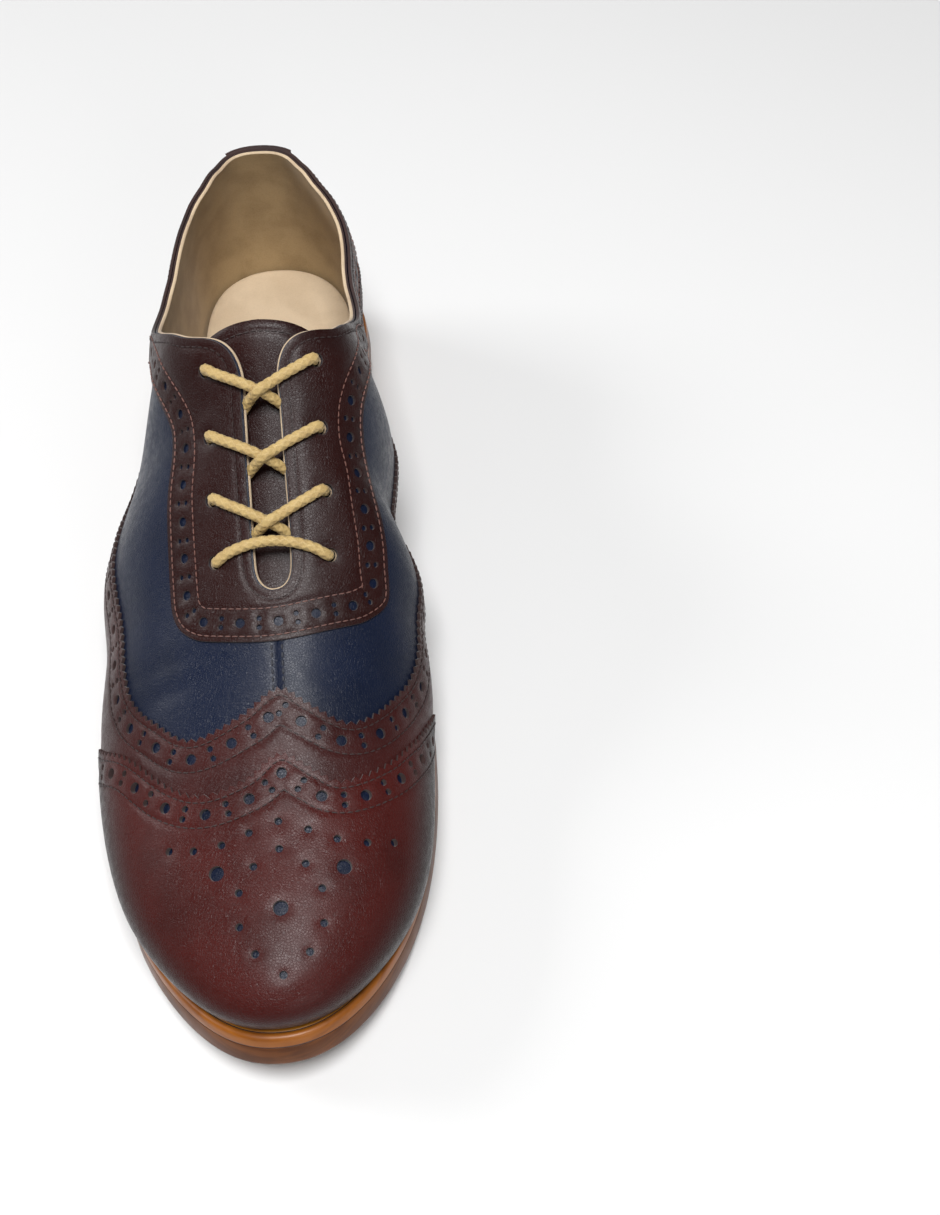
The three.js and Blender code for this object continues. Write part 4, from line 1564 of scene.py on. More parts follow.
TOP_FACE = SuedeFinish(
    "top_piece_face", (0.42, 0.22, 0.09), (0.32, 0.16, 0.065), nap_depth=0.08, roughness=0.7
)
LACE = ThreadFinish("lace_cord", (0.5, 0.36, 0.145), (0.32, 0.2, 0.07))
DARK_THREAD = ThreadFinish("dark_thread", (0.022, 0.007, 0.006), (0.01, 0.004, 0.004))
NAVY_THREAD = ThreadFinish("navy_thread", (0.008, 0.01, 0.022), (0.004, 0.004, 0.01))
ROSE_THREAD = ThreadFinish("rose_thread", (0.17, 0.075, 0.058), (0.09, 0.035, 0.028))


class Wardrobe:
    """Materials, each made once from its finish."""

    def __init__(self) -> None:
        """Start with no material."""
        self.made: dict[str, bpy.types.Material] = {}

    def __call__(self, *finishes: object) -> list[bpy.types.Material]:
        """Return the materials of finishes."""
        for finish in finishes:
            if finish.name not in self.made:
                self.made[finish.name] = finish.material()
        return [self.made[finish.name] for finish in finishes]


WARDROBE = Wardrobe()


def settle(piece: bpy.types.Object, slot: str, *nodes: str) -> bpy.types.Object:
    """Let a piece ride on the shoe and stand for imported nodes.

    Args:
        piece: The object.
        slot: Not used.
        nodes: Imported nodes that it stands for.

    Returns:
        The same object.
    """
    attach(piece, BODY)
    if nodes:
        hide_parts(*nodes)
    LOG.info("%s: %d faces", piece.name, len(piece.data.polygons))
    return piece


@dataclass
class EdgeLine:
    """Edge of a panel through the rows of an outer and an inner table, with the leather on its left."""

    outer: Table
    inner: Table
    girth: float = 90.0

    def points(self, last: Last, setback: float = 0.0, limit: float = 2.0) -> Array:
        """Return the pattern line.

        Args:
            last: The last.
            setback: How far the edge is moved towards the heel.
            limit: Share of the foot, where the line is cut off.

        Returns:
            The pattern points, from the inner side to the outer one.
        """
        parts = []
        for table, side in ((self.outer, Side.OUTER), (self.inner, Side.INNER)):
            along = np.maximum(table.column["at"] * last.length - setback, 0)
            parts.append(np.column_stack([along, side.value * (1 - table.column["up"]) * self.girth]))
        line = spline(np.vstack(parts), 40)
        far = limit * self.girth
        inside = np.flatnonzero(np.abs(line[:, 1]) < far)
        kept = [line[inside[0] : inside[-1] + 1]]
        if inside[0] > 0:
            kept.insert(0, self.crossing(line[inside[0]], line[inside[0] - 1], far))
        if inside[-1] < len(line) - 1:
            kept.append(self.crossing(line[inside[-1]], line[inside[-1] + 1], far))
        line = np.vstack(kept)
        at = np.clip(line[:, 0] / last.length, 0, 1)
        cut = last.section(at, np.where(line[:, 1] < 0, -1.0, 1.0))
        return last.to_pattern(cut, np.abs(line[:, 1]) / self.girth)[::-1]

    @staticmethod
    def crossing(within: Array, beyond: Array, far: float) -> Array:
        """Return the point where the line from one point to the next passes the limit."""
        share = (far - abs(within[1])) / (abs(beyond[1]) - abs(within[1]))
        return (within + (beyond - within) * share)[None]


@dataclass
class Pinking:
    """Saw-toothed edge of a panel."""

    pitch: float = 2.6
    depth: float = 1.25

    def cut(self, last: Last, line: Array, closed: bool = False) -> Array:
        """Return the toothed line, whose tips lie on the given one.

        Args:
            last: The last.
            line: Pattern points in order.
            closed: Whether the line ends where it starts.

        Returns:
            The toothed line, whose tips lie on the given one.
        """
        points = last.even(line, self.pitch / 2, closed)
        if closed and len(points) % 2:
            points = last.even(points, self.pitch / 2 * len(points) / (len(points) + 1), closed)
            points = points[: len(points) // 2 * 2]
        ground, _, left = last.axes(points, closed)
        depth = np.where(np.arange(len(points)) % 2, self.depth, 0.0)
        return points + ground.flatten(left * depth[:, None])


@dataclass
class Mouth:
    """Opening of the shoe: the collar and the slot between the facings."""

    front: float = 0.385
    corner: tuple[float, float] = (0.391, 10.0)
    slot_half: float = 5.6
    slot_top: float = 0.415
    slot_end: float = 0.585
    smoothing: int = 10

    def collar(self, last: Last, side: Side, drop: float = 0.0, end: float | None = None) -> Array:
        """Return the collar's edge on one side, from the heel forward, lowered by a drop."""
        stations = round_stations(90, end or self.front)
        return last.at_rise(stations, side, last.collar_height * last.top_line(stations) - drop)

    def slot(self, last: Last, side: Side, extra: float = 0.0) -> Array:
        """Return the slot's edge on one side, from its top to its round end.

        Args:
            last: The last.
            side: Side of the foot.
            extra: How far the opening is widened.

        Returns:
            The slot's edge on one side, from its top to its round end.
        """
        radius = self.slot_half + extra
        turn = np.linspace(0, math.pi / 2, 12)[1:]
        straight = np.linspace(self.slot_top, self.slot_end, 8)
        at = np.concatenate([[self.corner[0]], straight, self.slot_end + radius * np.sin(turn) / last.length])
        away = np.concatenate([[self.corner[1] + extra], np.full(8, radius), radius * np.cos(turn)])
        return last.at_distance(at, side, away)

    def loop(self, last: Last, extra: float = 0.0) -> Array:
        """Return the closed edge of the mouth, widened by an extra, with the leather on its left.

        Args:
            last: The last.
            extra: How far the opening is widened.

        Returns:
            The closed edge of the mouth, widened by an extra, with the leather on its left.
        """
        edges = {}
        for side in SIDES:
            collar = self.collar(last, side, extra)
            slot = self.slot(last, side, extra)
            bend = spline(np.vstack([collar[-7:-2:2], slot[:3]]), 16)
            edges[side] = np.vstack([collar[:-7], bend, slot[3:]])
        outer, inner = edges[Side.OUTER], edges[Side.INNER][1:-1]
        line = last.even(np.vstack([outer, inner[::-1]])[::-1], 1.2, True)
        for _ in range(self.smoothing):
            line = (np.roll(line, 1, axis=0) + 2 * line + np.roll(line, -1, axis=0)) / 4
        return line


@dataclass
class UpperBody:
    """Shell of the upper with its lining and its own seams."""

    last: Last
    mouth: Mouth
    eyelets: Loops
    foot_share: float = 1.262
    shell_wall: float = 0.9
    full_wall: float = 2.0
    lining_rise: float = 0.25
    seam_apart: float = 1.5
    vamp_seam: tuple[float, float] = (0.64, 0.7)

    def foot_loop(self, share: float) -> Array:
        """Return the closed line along the foot of the upper."""
        lines = [self.last.foot_line(side, 0.0, 1.0, share) for side in SIDES]
        return self.last.even(np.vstack([lines[0], lines[1][-2:0:-1]]), 1.8, True)

    def build(self) -> None:
        """Build the navy shell, its centre seam and the lining."""
        last = self.last
        foot = self.foot_loop(self.foot_share)
        rows = np.linspace(*self.vamp_seam, 30)
        seams = [last.at_distance(rows, side, self.seam_apart) for side in SIDES]
        middle = last.at_distance(rows, Side.INNER, 0.02)
        grooves = furrow(last, middle, width=0.6)
        loops = [foot, self.mouth.loop(last), *self.eyelets]
        shell = Leather(loops, 0.0, -self.shell_wall, grooves, groove_depth=0.35, edge_drop=0.3)
        piece = shell.shape(last).build(last, "upper_shell", WARDROBE(NAVY, DARK_EDGE_AND_SHADE, LINING))
        settle(piece, "navy_leather", "upper")
        inner_foot = self.foot_loop(self.foot_share - 0.004)
        mouth = self.mouth.loop(last, -self.lining_rise)
        loops = [inner_foot, mouth, *self.eyelets]
        top = -self.shell_wall - 0.02
        lining = Leather(loops, top, -self.full_wall, bulge=0.3, edge_drop=0.05)
        piece = lining.shape(last).build(last, "lining", WARDROBE(RIM, RIM, LINING))
        settle(piece, "lining_leather")
        stitches = [Seam(line, 0.05, pitch=2.4, width=0.7, rise=0.4).shape(last) for line in seams]
        piece = (stitches[0] + stitches[1]).build(last, "vamp_seam_stitches", WARDROBE(NAVY_THREAD))
        settle(piece, "navy_leather")


@dataclass
class Overlay:
    """A panel stitched over the shell: its leather, its holes and its stitches."""

    last: Last
    name: str
    node: str
    slot: str
    finish: LeatherFinish
    thread: ThreadFinish
    thickness: float
    bottom: float = 0.03

    def build(self, loops: Loops, seams: Sequence[tuple[Array, bool, int]], **leather: float) -> None:
        """Build the panel and its stitches.

        Args:
            loops: Outline, openings and holes in the pattern.
            seams: Lines of stitches, each with whether it is closed and 1 for the dark thread.
            leather: Sizes of the leather other than the usual ones.
        """
        grooves = [part for line, closed, _ in seams for part in furrow(self.last, line, closed)]
        sheet = Leather(loops, self.thickness, self.bottom, grooves, **leather)
        shape = sheet.shape(self.last)
        piece = shape.build(self.last, self.name, WARDROBE(self.finish, DARK_EDGE_AND_SHADE, self.finish))
        settle(piece, self.slot, self.node)
        stitches = None
        for line, closed, kind in seams:
            row = Seam(line, self.thickness - 0.12, closed).shape(self.last)
            row.finish = [kind] * len(row.faces)
            stitches = stitches + row if stitches else row
        piece = stitches.build(self.last, f"{self.name}_stitches", WARDROBE(self.thread, DARK_THREAD))
        settle(piece, self.slot)


@dataclass
class WingTip:
    """Toe cap and wing panel with their pinked edges, hole rows and the cap's ornament."""

    last: Last
    foot_share: float = 1.262
    cap_thickness: float = 2.0
    wing_thickness: float = 1.15
    underlap: float = 4.0
    near_seam: float = 2.5
    hole_line: float = 5.9
    far_seam: float = 9.6
    ornament_shift: float = 1.4
    cap_edge: EdgeLine = field(default_factory=lambda: EdgeLine(CAP_EDGE_OUTER, CAP_EDGE_INNER))
    wing_edge: EdgeLine = field(default_factory=lambda: EdgeLine(WING_EDGE_OUTER, WING_EDGE_INNER))
    pinking: Pinking = field(default_factory=Pinking)
    holes: HoleRow = field(default_factory=HoleRow)

    def cut_foot(self, line: Array, around_toe: bool) -> Array:
        """Return the foot's line from the end of an edge to its start, round the toe or the heel.

        Args:
            line: Pattern points in order.
            around_toe: Whether the line goes round the toe instead of the heel.

        Returns:
            The foot's line from the end of an edge to its start, round the toe or the heel.
        """
        first, last = self.last.from_pattern(line[[0, -1]])[0].at
        turn = 1.0 if around_toe else 0.0
        outer = self.last.foot_line(Side.OUTER, last, turn, self.foot_share)
        inner = self.last.foot_line(Side.INNER, turn, first, self.foot_share)
        return self.last.even(np.vstack([outer, inner[1:]]), 1.6)[1:-1]

    def crown_share(self, line: Array) -> float:
        """Return the share of a line's length at which it passes the crown line.

        Args:
            line: Pattern points in order.

        Returns:
            The share of a line's length at which it passes the crown line.
        """
        spots = self.last.skin_at(line)
        walk = np.concatenate([[0.0], np.cumsum(np.linalg.norm(np.diff(spots, axis=0), axis=1))])
        sides = self.last.side_of(line)
        return float(walk[np.flatnonzero(np.diff(sides))[0]] / walk[-1])

    def medallion(self) -> Loops:
        """Return the pinholes of the toe cap's ornament.

        Returns:
            The pinholes of the toe cap's ornament.
        """
        loops = []
        for at, away, radius in zip(*MEDALLION.column.values()):
            for side in SIDES if away else (Side.INNER,):
                x = self.last.crown_x(at) - self.ornament_shift + side.value * away
                centre = self.last.under(np.array([[x, self.last.along(at)]]))
                loops += self.holes.circles(self.last, centre, radius, 20 if radius > 1.5 else 14)
        return loops

    def build(self) -> None:
        """Build both panels."""
        self.build_cap()
        self.build_wing()

    def build_cap(self) -> None:
        """Build the toe cap."""
        last = self.last
        line = last.even(self.cap_edge.points(last, 0.0, self.foot_share), 0.5)
        outline = np.vstack([self.pinking.cut(last, line), self.cut_foot(line, True)])
        rows = [last.offset(line, distance) for distance in (self.near_seam, self.far_seam)]
        centre = last.offset(line, self.hole_line)
        holes = self.holes.loops(last, centre, False, self.crown_share(centre))
        names = ("toe_cap_panel", "toe_cap", "oxblood_leather")
        panel = Overlay(last, *names, CAP_RED, DARK_THREAD, self.cap_thickness)
        panel.build([outline, *holes, *self.medallion()], [(row, False, 0) for row in rows])

    def build_wing(self) -> None:
        """Build the wing panel, which runs on under the cap."""
        last = self.last
        front = last.even(self.cap_edge.points(last, -self.underlap, self.foot_share), 1.2)
        outline = np.vstack([front, self.cut_foot(front, False)])
        line = last.even(self.wing_edge.points(last)[:-1], 0.5, True)
        rows = [last.offset(line, distance, True) for distance in (self.near_seam, self.far_seam)]
        centre = last.offset(line, self.hole_line, True)
        holes = self.holes.loops(last, centre, True, self.crown_share(centre))
        names = ("wing_panel_leather", "wing_panel", "oxblood_leather")
        panel = Overlay(last, *names, OXBLOOD, DARK_THREAD, self.wing_thickness)
        panel.build([outline, self.pinking.cut(last, line, True), *holes], [(row, True, 0) for row in rows])


@dataclass
class Facings:
    """Lace stay with the band round the collar, and the strap over the heel."""

    last: Last
    mouth: Mouth
    thickness: float = 1.35
    setback: float = 0.35
    band_width: float = 16.0
    band_end: float = 0.34
    front: float = 0.649
    eyelet_first: float = 0.406
    eyelet_pitch: float = 0.055
    eyelet_rows: int = 4
    eyelet_across: float = 15.6
    eyelet_radius: float = 2.1
    eyelet_shift: float = 1.1
    near_seam: float = 1.5
    hole_line: float = 5.4
    far_seam: float = 9.4
    slot_seam: float = 2.4
    tab_thickness: float = 2.5
    bottom: float = 0.03
    holes: HoleRow = field(default_factory=lambda: HoleRow(11.0, 1.5, 0.85, 1.3))

    def edge(self) -> Array:
        """Return the closed outer edge of the stay and the band, with the leather on its left.

        Returns:
            The closed outer edge of the stay and the band, with the leather on its left.
        """
        sides = []
        for side in SIDES:
            collar = self.mouth.collar(self.last, side, self.band_width, self.band_end)
            rows = self.last.at_distance(STAY_EDGE[side].column["at"], side, STAY_EDGE[side].column["across"])
            sides.append(np.vstack([collar[::6], rows]))
        front = self.last.at_distance(self.front, Side.OUTER, 0.01)
        line = spline(np.vstack([sides[0], front, sides[1][::-1]]), 16)
        return self.last.even(line[:-1], 0.6, True)

    def eyelets(self) -> Loops:
        """Return the round lace holes.

        Returns:
            The round lace holes.
        """
        loops = []
        for row in range(self.eyelet_rows):
            at = self.eyelet_first + self.eyelet_pitch * row
            for side in SIDES:
                centre = self.last.at_distance(at, side, self.eyelet_across + self.eyelet_shift)
                loops += self.holes.circles(self.last, centre, self.eyelet_radius, 20)
        return loops

    def build(self) -> None:
        """Build the stay with the band, and the strap."""
        last = self.last
        edge = self.edge()
        mouth = self.mouth.loop(last, self.setback)
        seams = [(last.offset(edge, distance, True), True, 0) for distance in (self.near_seam, self.far_seam)]
        seams.append((last.offset(mouth, self.slot_seam, True), True, 1))
        holes = self.holes.loops(last, last.offset(edge, self.hole_line, True), True, 0.5)
        names = ("lace_stay_leather", "lace_stay", "dark_leather")
        panel = Overlay(last, *names, DARK, ROSE_THREAD, self.thickness)
        coarse = last.even(edge, 1.2, True)
        panel.build([coarse, mouth, *holes, *self.eyelets()], seams, edge_drop=0.35, edge_width=1.3)
        self.build_tab()

    def tab_edge(self, side: Side) -> tuple[Array, Array]:
        """Return the strap's edge on one side, from above the collar down, and its bottom edge inwards.

        Args:
            side: Side of the foot.

        Returns:
            The strap's edge on one side, from above the collar down, and its bottom edge inwards.
        """
        last = self.last
        result = []
        for drop, half in zip(*HEEL_TAB_EDGE.column.values()):
            stations = np.linspace(0.0, 0.12, 400)
            line = last.at_rise(stations, side, last.collar_height - drop)
            away = np.abs(last.skin_at(line)[:, 0] - last.crown_x(0.0))
            result.append([np.interp(half, away, line[:, k]) for k in (0, 1)])
        return np.array(result), line[away < half - 0.5][::-12]

    def build_tab(self) -> None:
        """Build the strap over the heel, which steps down from the band to the shell."""
        last = self.last
        (outer, outer_low), (inner, inner_low) = (self.tab_edge(side) for side in SIDES)
        outer, inner = spline(outer, 12), spline(inner, 12)
        collar = {side: self.mouth.collar(last, side, self.setback)[:40] for side in SIDES}
        kept = []
        for side, edge in ((Side.OUTER, outer), (Side.INNER, inner)):
            rim = collar[side]
            gap = np.linalg.norm(edge[:, None] - rim[None], axis=2)
            i, j = np.unravel_index(gap.argmin(), gap.shape)
            kept.append((edge[i:], rim[: j + 1]))
        (outer_edge, outer_rim), (inner_edge, inner_rim) = kept
        low = [inner_low, outer_low[::-1]]
        loop = np.vstack([outer_rim[::-1], inner_rim[1:], inner_edge[1:], *low, outer_edge[:0:-1]])
        loop = last.even(loop, 1.0, True)
        band_low = last.collar_height - self.band_width

        def lay(ground: Ground, height: Array) -> Array:
            """Lay the strap over the band and, below it, on the shell.

            Args:
                ground: Spots on the last.
                height: Heights over the skin.

            Returns:
                The points.
            """
            rise = ground.spot[:, 2] - last.seat(last.station(ground.spot[:, 1]))
            step = self.thickness * smoothstep(rise, band_low - 2.5, band_low + 0.5)
            return ground.off(height + step * (height > self.bottom))

        thickness = self.tab_thickness - self.thickness
        seam = [part for part in furrow(last, last.offset(loop, 1.6, True), True)]
        sheet = Leather([loop], thickness, self.bottom, seam, spacing=1.1, edge_drop=0.25)
        piece = sheet.shape(last, lay).build(last, "heel_tab_leather", WARDROBE(DARK, DARK_EDGE_AND_SHADE, DARK))
        settle(piece, "dark_leather", "heel_tab")
        stitches = Seam(last.offset(loop, 1.6, True), thickness - 0.1, True).shape(last, lay)
        piece = stitches.build(last, "heel_tab_stitches", WARDROBE(ROSE_THREAD))
        settle(piece, "dark_leather")


@dataclass
class Tongue:
    """Tongue under the slot, lower along the lacing than at its two ends."""

    last: Last
    mouth: Mouth
    top: float = -2.0
    thickness: float = 1.8
    lace_room: float = 3.2
    top_at: float = 0.363
    tip_at: float = 0.65
    stay_front: float = 0.649
    seam_inset: float = 3.4

    def lay(self, ground: Ground, height: Array) -> Array:
        """Lay the tongue under the shell, with room for the laces over it.

        Args:
            ground: Spots on the last.
            height: Heights over the skin.

        Returns:
            The points.
        """
        at = self.last.station(ground.spot[:, 1])
        room = self.lace_room * (1 - smoothstep(at, self.mouth.slot_end, self.stay_front))
        return ground.over(height - np.maximum(room, self.last.fit_gap))

    def build(self) -> None:
        """Build the tongue and the stitches of its top edge."""
        last = self.last
        at, across = TONGUE_OUTLINE.column.values()
        sides = [last.at_distance(at, side, across) for side in SIDES]
        ends = [last.at_distance(at, Side.OUTER, 0.01) for at in (self.top_at, self.tip_at)]
        loop = spline(np.vstack([ends[0], sides[0], ends[1], sides[1][::-1], ends[0]]), 20)[:-1]
        loop = last.even(loop, 1.0, True)
        ring = last.offset(loop, self.seam_inset, True)
        ring = ring[last.station(last.skin_at(ring)[:, 1]) < 0.43]
        split = np.linalg.norm(np.diff(ring, axis=0), axis=1).argmax() + 1
        seam = np.roll(ring, -split, axis=0)
        bottom = self.top - self.thickness
        sheet = Leather([loop], self.top, bottom, furrow(last, seam), spacing=1.3, edge_drop=0.45)
        piece = sheet.shape(last, self.lay).build(last, "tongue_leather", WARDROBE(DARK, DARK_EDGE_AND_SHADE, LINING))
        settle(piece, "dark_leather", "tongue")
        stitches = Seam(seam, self.top - 0.1).shape(last, self.lay)
        piece = stitches.build(last, "tongue_stitches", WARDROBE(DARK_THREAD))
        settle(piece, "dark_leather")


@dataclass
class Laces:
    """Round braided laces: a bar over the lowest eyelets and crossings over the slot above."""

    last: Last
    facings: Facings
    radius: float = 1.6
    lie: float = 2.95
    lift: float = 1.0
    sides: int = 28
    step: float = 0.3
    braid_depth: float = 0.24
    braid_lead: float = 2.6

    def route(self, rows: Sequence[tuple[float, float, float]], side: Side) -> Array:
        """Return a smooth route through stations, distances over the crown line and heights.

        Args:
            rows: Station, distance and height of each point.
            side: Side of the foot.

        Returns:
            A smooth route through stations, distances over the crown line and heights.
        """
        points = []
        for at, away, height in rows:
            way = side if away >= 0 else (Side.INNER if side is Side.OUTER else Side.OUTER)
            spot = self.last.at_distance(at, way, abs(away) + 0.001)
            points.append(self.last.ground(spot).off(np.array([height]))[0])
        line = spline(np.array(points), 30)
        walk = np.concatenate([[0.0], np.cumsum(np.linalg.norm(np.diff(line, axis=0), axis=1))])
        marks = np.linspace(0, walk[-1], round(walk[-1] / self.step) + 1)
        return np.stack([np.interp(marks, walk, line[:, k]) for k in range(3)], axis=-1)

    def cord(self, path: Array) -> Shape:
        """Return the braided cord along a path.

        Args:
            path: Points of the cord's middle.

        Returns:
            The braided cord along a path.
        """
        ahead = unit(np.gradient(path, axis=0))
        up = unit(np.cross(np.cross(ahead, (0.0, 0.0, 1.0)), ahead))
        side = np.cross(ahead, up)
        turn = 2 * math.pi * np.arange(self.sides) / self.sides
        along = np.arange(len(path))[:, None] * self.step * 2 * math.pi / self.braid_lead
        first = np.cos(4 * turn[None] + along)
        second = np.cos(4 * turn[None] - along)
        braid = np.maximum(first, second) * 0.7 + 0.3 * np.abs(first * second)
        end = np.minimum(np.arange(len(path)), np.arange(len(path))[::-1])[:, None] * self.step
        taper = np.clip(0.75 + 0.25 * end / 0.8, 0, 1)
        radius = (self.radius + self.braid_depth * (braid - 0.8)) * taper
        ring = radius[..., None] * (
            np.cos(turn)[None, :, None] * side[:, None] + np.sin(turn)[None, :, None] * up[:, None]
        )
        points = (path[:, None] + ring).reshape(-1, 3)
        faces = [face[::-1] for face in grid_faces(len(path), self.sides, True)]
        faces.append(list(range(self.sides)))
        faces.append(list(range(len(points) - 1, len(points) - self.sides - 1, -1)))
        return Shape(points, faces)

    def crossing(self, row: int, side: Side, lift: float) -> Shape:
        """Return one strand, from its eyelet over the slot to under the other facing.

        Args:
            row: Number of the crossing from the top.
            side: Side of the foot.
            lift: Height over the other strand.

        Returns:
            One strand, from its eyelet over the slot to under the other facing.
        """
        stay = self.facings
        at = stay.eyelet_first + stay.eyelet_pitch * row
        slant = stay.eyelet_pitch / (2 * stay.eyelet_across)

        def place(away: float) -> float:
            """Return the station of the strand at a distance from the crown line."""
            return at + slant * (stay.eyelet_across - away)

        out = stay.eyelet_across
        rows = [(at, out + 0.7, -2.2), (at, out + 0.6, 0.2), (at, out - 0.5, 2.3)]
        rows += [(place(away), away, self.lie) for away in (out - 4.0, 7.0, 3.5)]
        rows += [(place(0.0), 0.0, self.lie + lift), (place(-3.2), -3.2, -0.2), (place(-7.5), -7.5, -3.6)]
        return self.cord(self.route(rows, side))

    def build(self) -> None:
        """Build the crossings and the bar."""
        for row in range(self.facings.eyelet_rows - 1):
            shape = self.crossing(row, Side.INNER, self.lift) + self.crossing(row, Side.OUTER, -self.lift)
            piece = shape.build(self.last, f"lace_strands_{row + 1}", WARDROBE(LACE), 60.0)
            settle(piece, "lace_cord", f"lace_crossing_{row + 1}")
        stay = self.facings
        low = stay.eyelet_first + stay.eyelet_pitch * (stay.eyelet_rows - 1)

        def bow(away: float) -> float:
            """Return the station of the bowed bar at a distance from the crown line."""
            return low - 0.011 * (1 - (away / stay.eyelet_across) ** 2)

        out = stay.eyelet_across
        half = [(low, out + 0.7, -2.2), (low, out + 0.6, 0.2), (low, out - 0.5, 2.3)]
        half += [(bow(away), away, self.lie) for away in (out - 4.0, 7.0, 3.5)]
        other = [(at, -away, height) for at, away, height in half]
        path = self.route([*half, (bow(0.0), 0.0, self.lie + 0.3), *other[::-1]], Side.OUTER)
        piece = self.cord(path).build(self.last, "lace_bar_cord", WARDROBE(LACE), 60.0)
        settle(piece, "lace_cord", "lace_bar")


@dataclass
class Bottom:
    """Insole, welt, outsole and heel."""

    last: Last
    welt_thickness: float = 3.6
    top_piece: float = 6.0
    insole_thickness: float = 3.0
    heel_breast: float = 0.245
    heel_inset: float = 0.4
    heel_taper: float = 1.6
    stations: int = 180
    columns: int = 7

    def ribs(self, rows: list[dict[Side, Array]], finish: Sequence[int]) -> Shape:
        """Join the rows of an edge profile, from the top inwards to the bottom, into a closed layer.

        Args:
            rows: Lines of points on each side, from the heel to the toe.
            finish: Finish of the top, of each band between two rows and of the bottom.

        Returns:
            The closed layer.
        """
        share = np.linspace(0, 1, self.columns + 1)[1:-1]
        lines = [row[Side.OUTER] for row in rows[::-1]]
        lines += [rows[0][Side.OUTER] * (1 - t) + rows[0][Side.INNER] * t for t in share]
        lines += [row[Side.INNER] for row in rows]
        lines += [rows[-1][Side.INNER] * (1 - t) + rows[-1][Side.OUTER] * t for t in share]
        bands = list(finish[1:-1])
        kinds = bands[::-1] + [finish[0]] * self.columns + bands + [finish[-1]] * self.columns
        ring = len(lines)
        grid = np.stack(lines, axis=1)
        faces = grid_faces(grid.shape[0], ring, True)
        return Shape(grid.reshape(-1, 3), faces, kinds * (grid.shape[0] - 1)).weld()

    def layer(self, profile: Sequence[tuple[float, float]], finish: Sequence[int]) -> Shape:
        """Return a sole layer from the insets and depths of its edge profile.

        Args:
            profile: Inset and depth or height of each row.
            finish: Finish of the top, of each band and of the bottom.

        Returns:
            A sole layer from the insets and depths of its edge profile.
        """
        stations = np.sort(np.concatenate([round_stations(self.stations), np.linspace(0.2, 0.9, 60)]))
        rows = []
        for inset, depth in profile:
            flare = self.last.wall_flare * (1 - depth / self.last.sole_thickness)
            cuts = {side: self.last.section(stations, side.value) for side in SIDES}
            rows.append({side: self.last.sole_edge(cut, inset + flare, depth) for side, cut in cuts.items()})
        return self.ribs(rows, finish)

    def block(self, profile: Sequence[tuple[float, float]], finish: Sequence[int]) -> Shape:
        """Return a block of the heel from the insets and heights of its edge profile.

        Args:
            profile: Inset and depth or height of each row.
            finish: Finish of the top, of each band and of the bottom.

        Returns:
            A block of the heel from the insets and heights of its edge profile.
        """
        last = self.last
        stations = round_stations(70, self.heel_breast)
        top = last.heel_seat - last.sole_thickness
        rows = []
        for inset, z in profile:
            row = {}
            for side in SIDES:
                cut = last.section(stations, side.value)
                plan = cut.plan(cut.reach - inset - self.heel_inset - self.heel_taper * (1 - z / top))
                row[side] = np.column_stack([plan, np.full(len(plan), z)])
            rows.append(row)
        shape = self.ribs(rows, finish)
        lines = [row[Side.OUTER][-1] for row in rows[::-1]]
        share = np.linspace(0, 1, self.columns + 1)[1:-1]
        lines += [rows[0][Side.OUTER][-1] * (1 - t) + rows[0][Side.INNER][-1] * t for t in share]
        lines += [row[Side.INNER][-1] for row in rows]
        lines += [rows[-1][Side.INNER][-1] * (1 - t) + rows[-1][Side.OUTER][-1] * t for t in share]
        breast = Shape(np.array(lines), [list(range(len(lines)))], [1])
        return (shape + breast).weld()

    def build(self) -> None:
        """Build all the pieces under the upper."""
        self.build_insole()
        self.build_sole()
        self.build_heel()

    def build_insole(self) -> None:
        """Build the insole, with a softly rounded rim."""
        last = self.last
        stations = round_stations(self.stations)
        rows = []
        for inset, depth in ((1.6, -0.05), (0.6, 0.1), (0.1, 0.5), (0.0, 1.0), (0.0, self.insole_thickness)):
            row = {}
            for side in SIDES:
                cut = last.section(stations, side.value)
                normal = last.ground(last.to_pattern(cut, np.full(len(stations), last.skirt))).normal
                slant = np.maximum(np.sum(normal[:, :2] * cut.ray, axis=1), 0.3)
                back = cut.reach - last.foot_reach(cut) + 2.3 / slant
                row[side] = last.sole_edge(cut, back + inset, depth - last.fit_gap - self.insole_thickness)
            rows.append(row)
        piece = self.ribs(rows, [0] * 6).build(last, "insole_leather", WARDROBE(SOCK))
        settle(piece, "lining_leather", "insole")

    def build_sole(self) -> None:
        """Build the welt and the outsole."""
        last = self.last
        profile = [(9.0, 0.0), (2.3, 0.0), (2.0, 0.12), (1.85, 0.4), (1.7, 0.12)]
        profile += [(1.5, -0.02), (1.0, 0.02), (0.55, 0.18)]
        profile += [(0.2, 0.5), (0.02, 1.0), (0.0, 1.6), (0.0, 3.3), (0.05, 3.5), (0.15, self.welt_thickness)]
        # The groove in the welt's top takes the near-black edge colour, partly painted shade in the groove
        kinds = [0, 0, 0, 2, 2, 0, 1, 1, 1, 1, 1, 1, 2, 2, 2]
        finishes = WARDROBE(WELT_TOP, WELT_EDGE, DARK_EDGE_AND_SHADE)
        piece = self.layer(profile, kinds).build(last, "welt_leather", finishes, 50.0)
        settle(piece, "edge_leather", "welt")
        low = last.sole_thickness
        top = self.welt_thickness + 0.02
        profile = [(0.3, top), (0.08, top + 0.08), (0.0, top + 0.3), (0.0, low - 1.1), (0.12, low - 0.5)]
        profile += [(0.35, low - 0.15), (0.7, low), (9.0, low)]
        kinds = [0, 2, 0, 0, 0, 0, 0, 1, 1]
        finishes = WARDROBE(SOLE_EDGE, SOLE_FACE, DARK_EDGE_AND_SHADE)
        piece = self.layer(profile, kinds).build(last, "outsole_leather", finishes, 50.0)
        settle(piece, "sole_leather", "outsole")

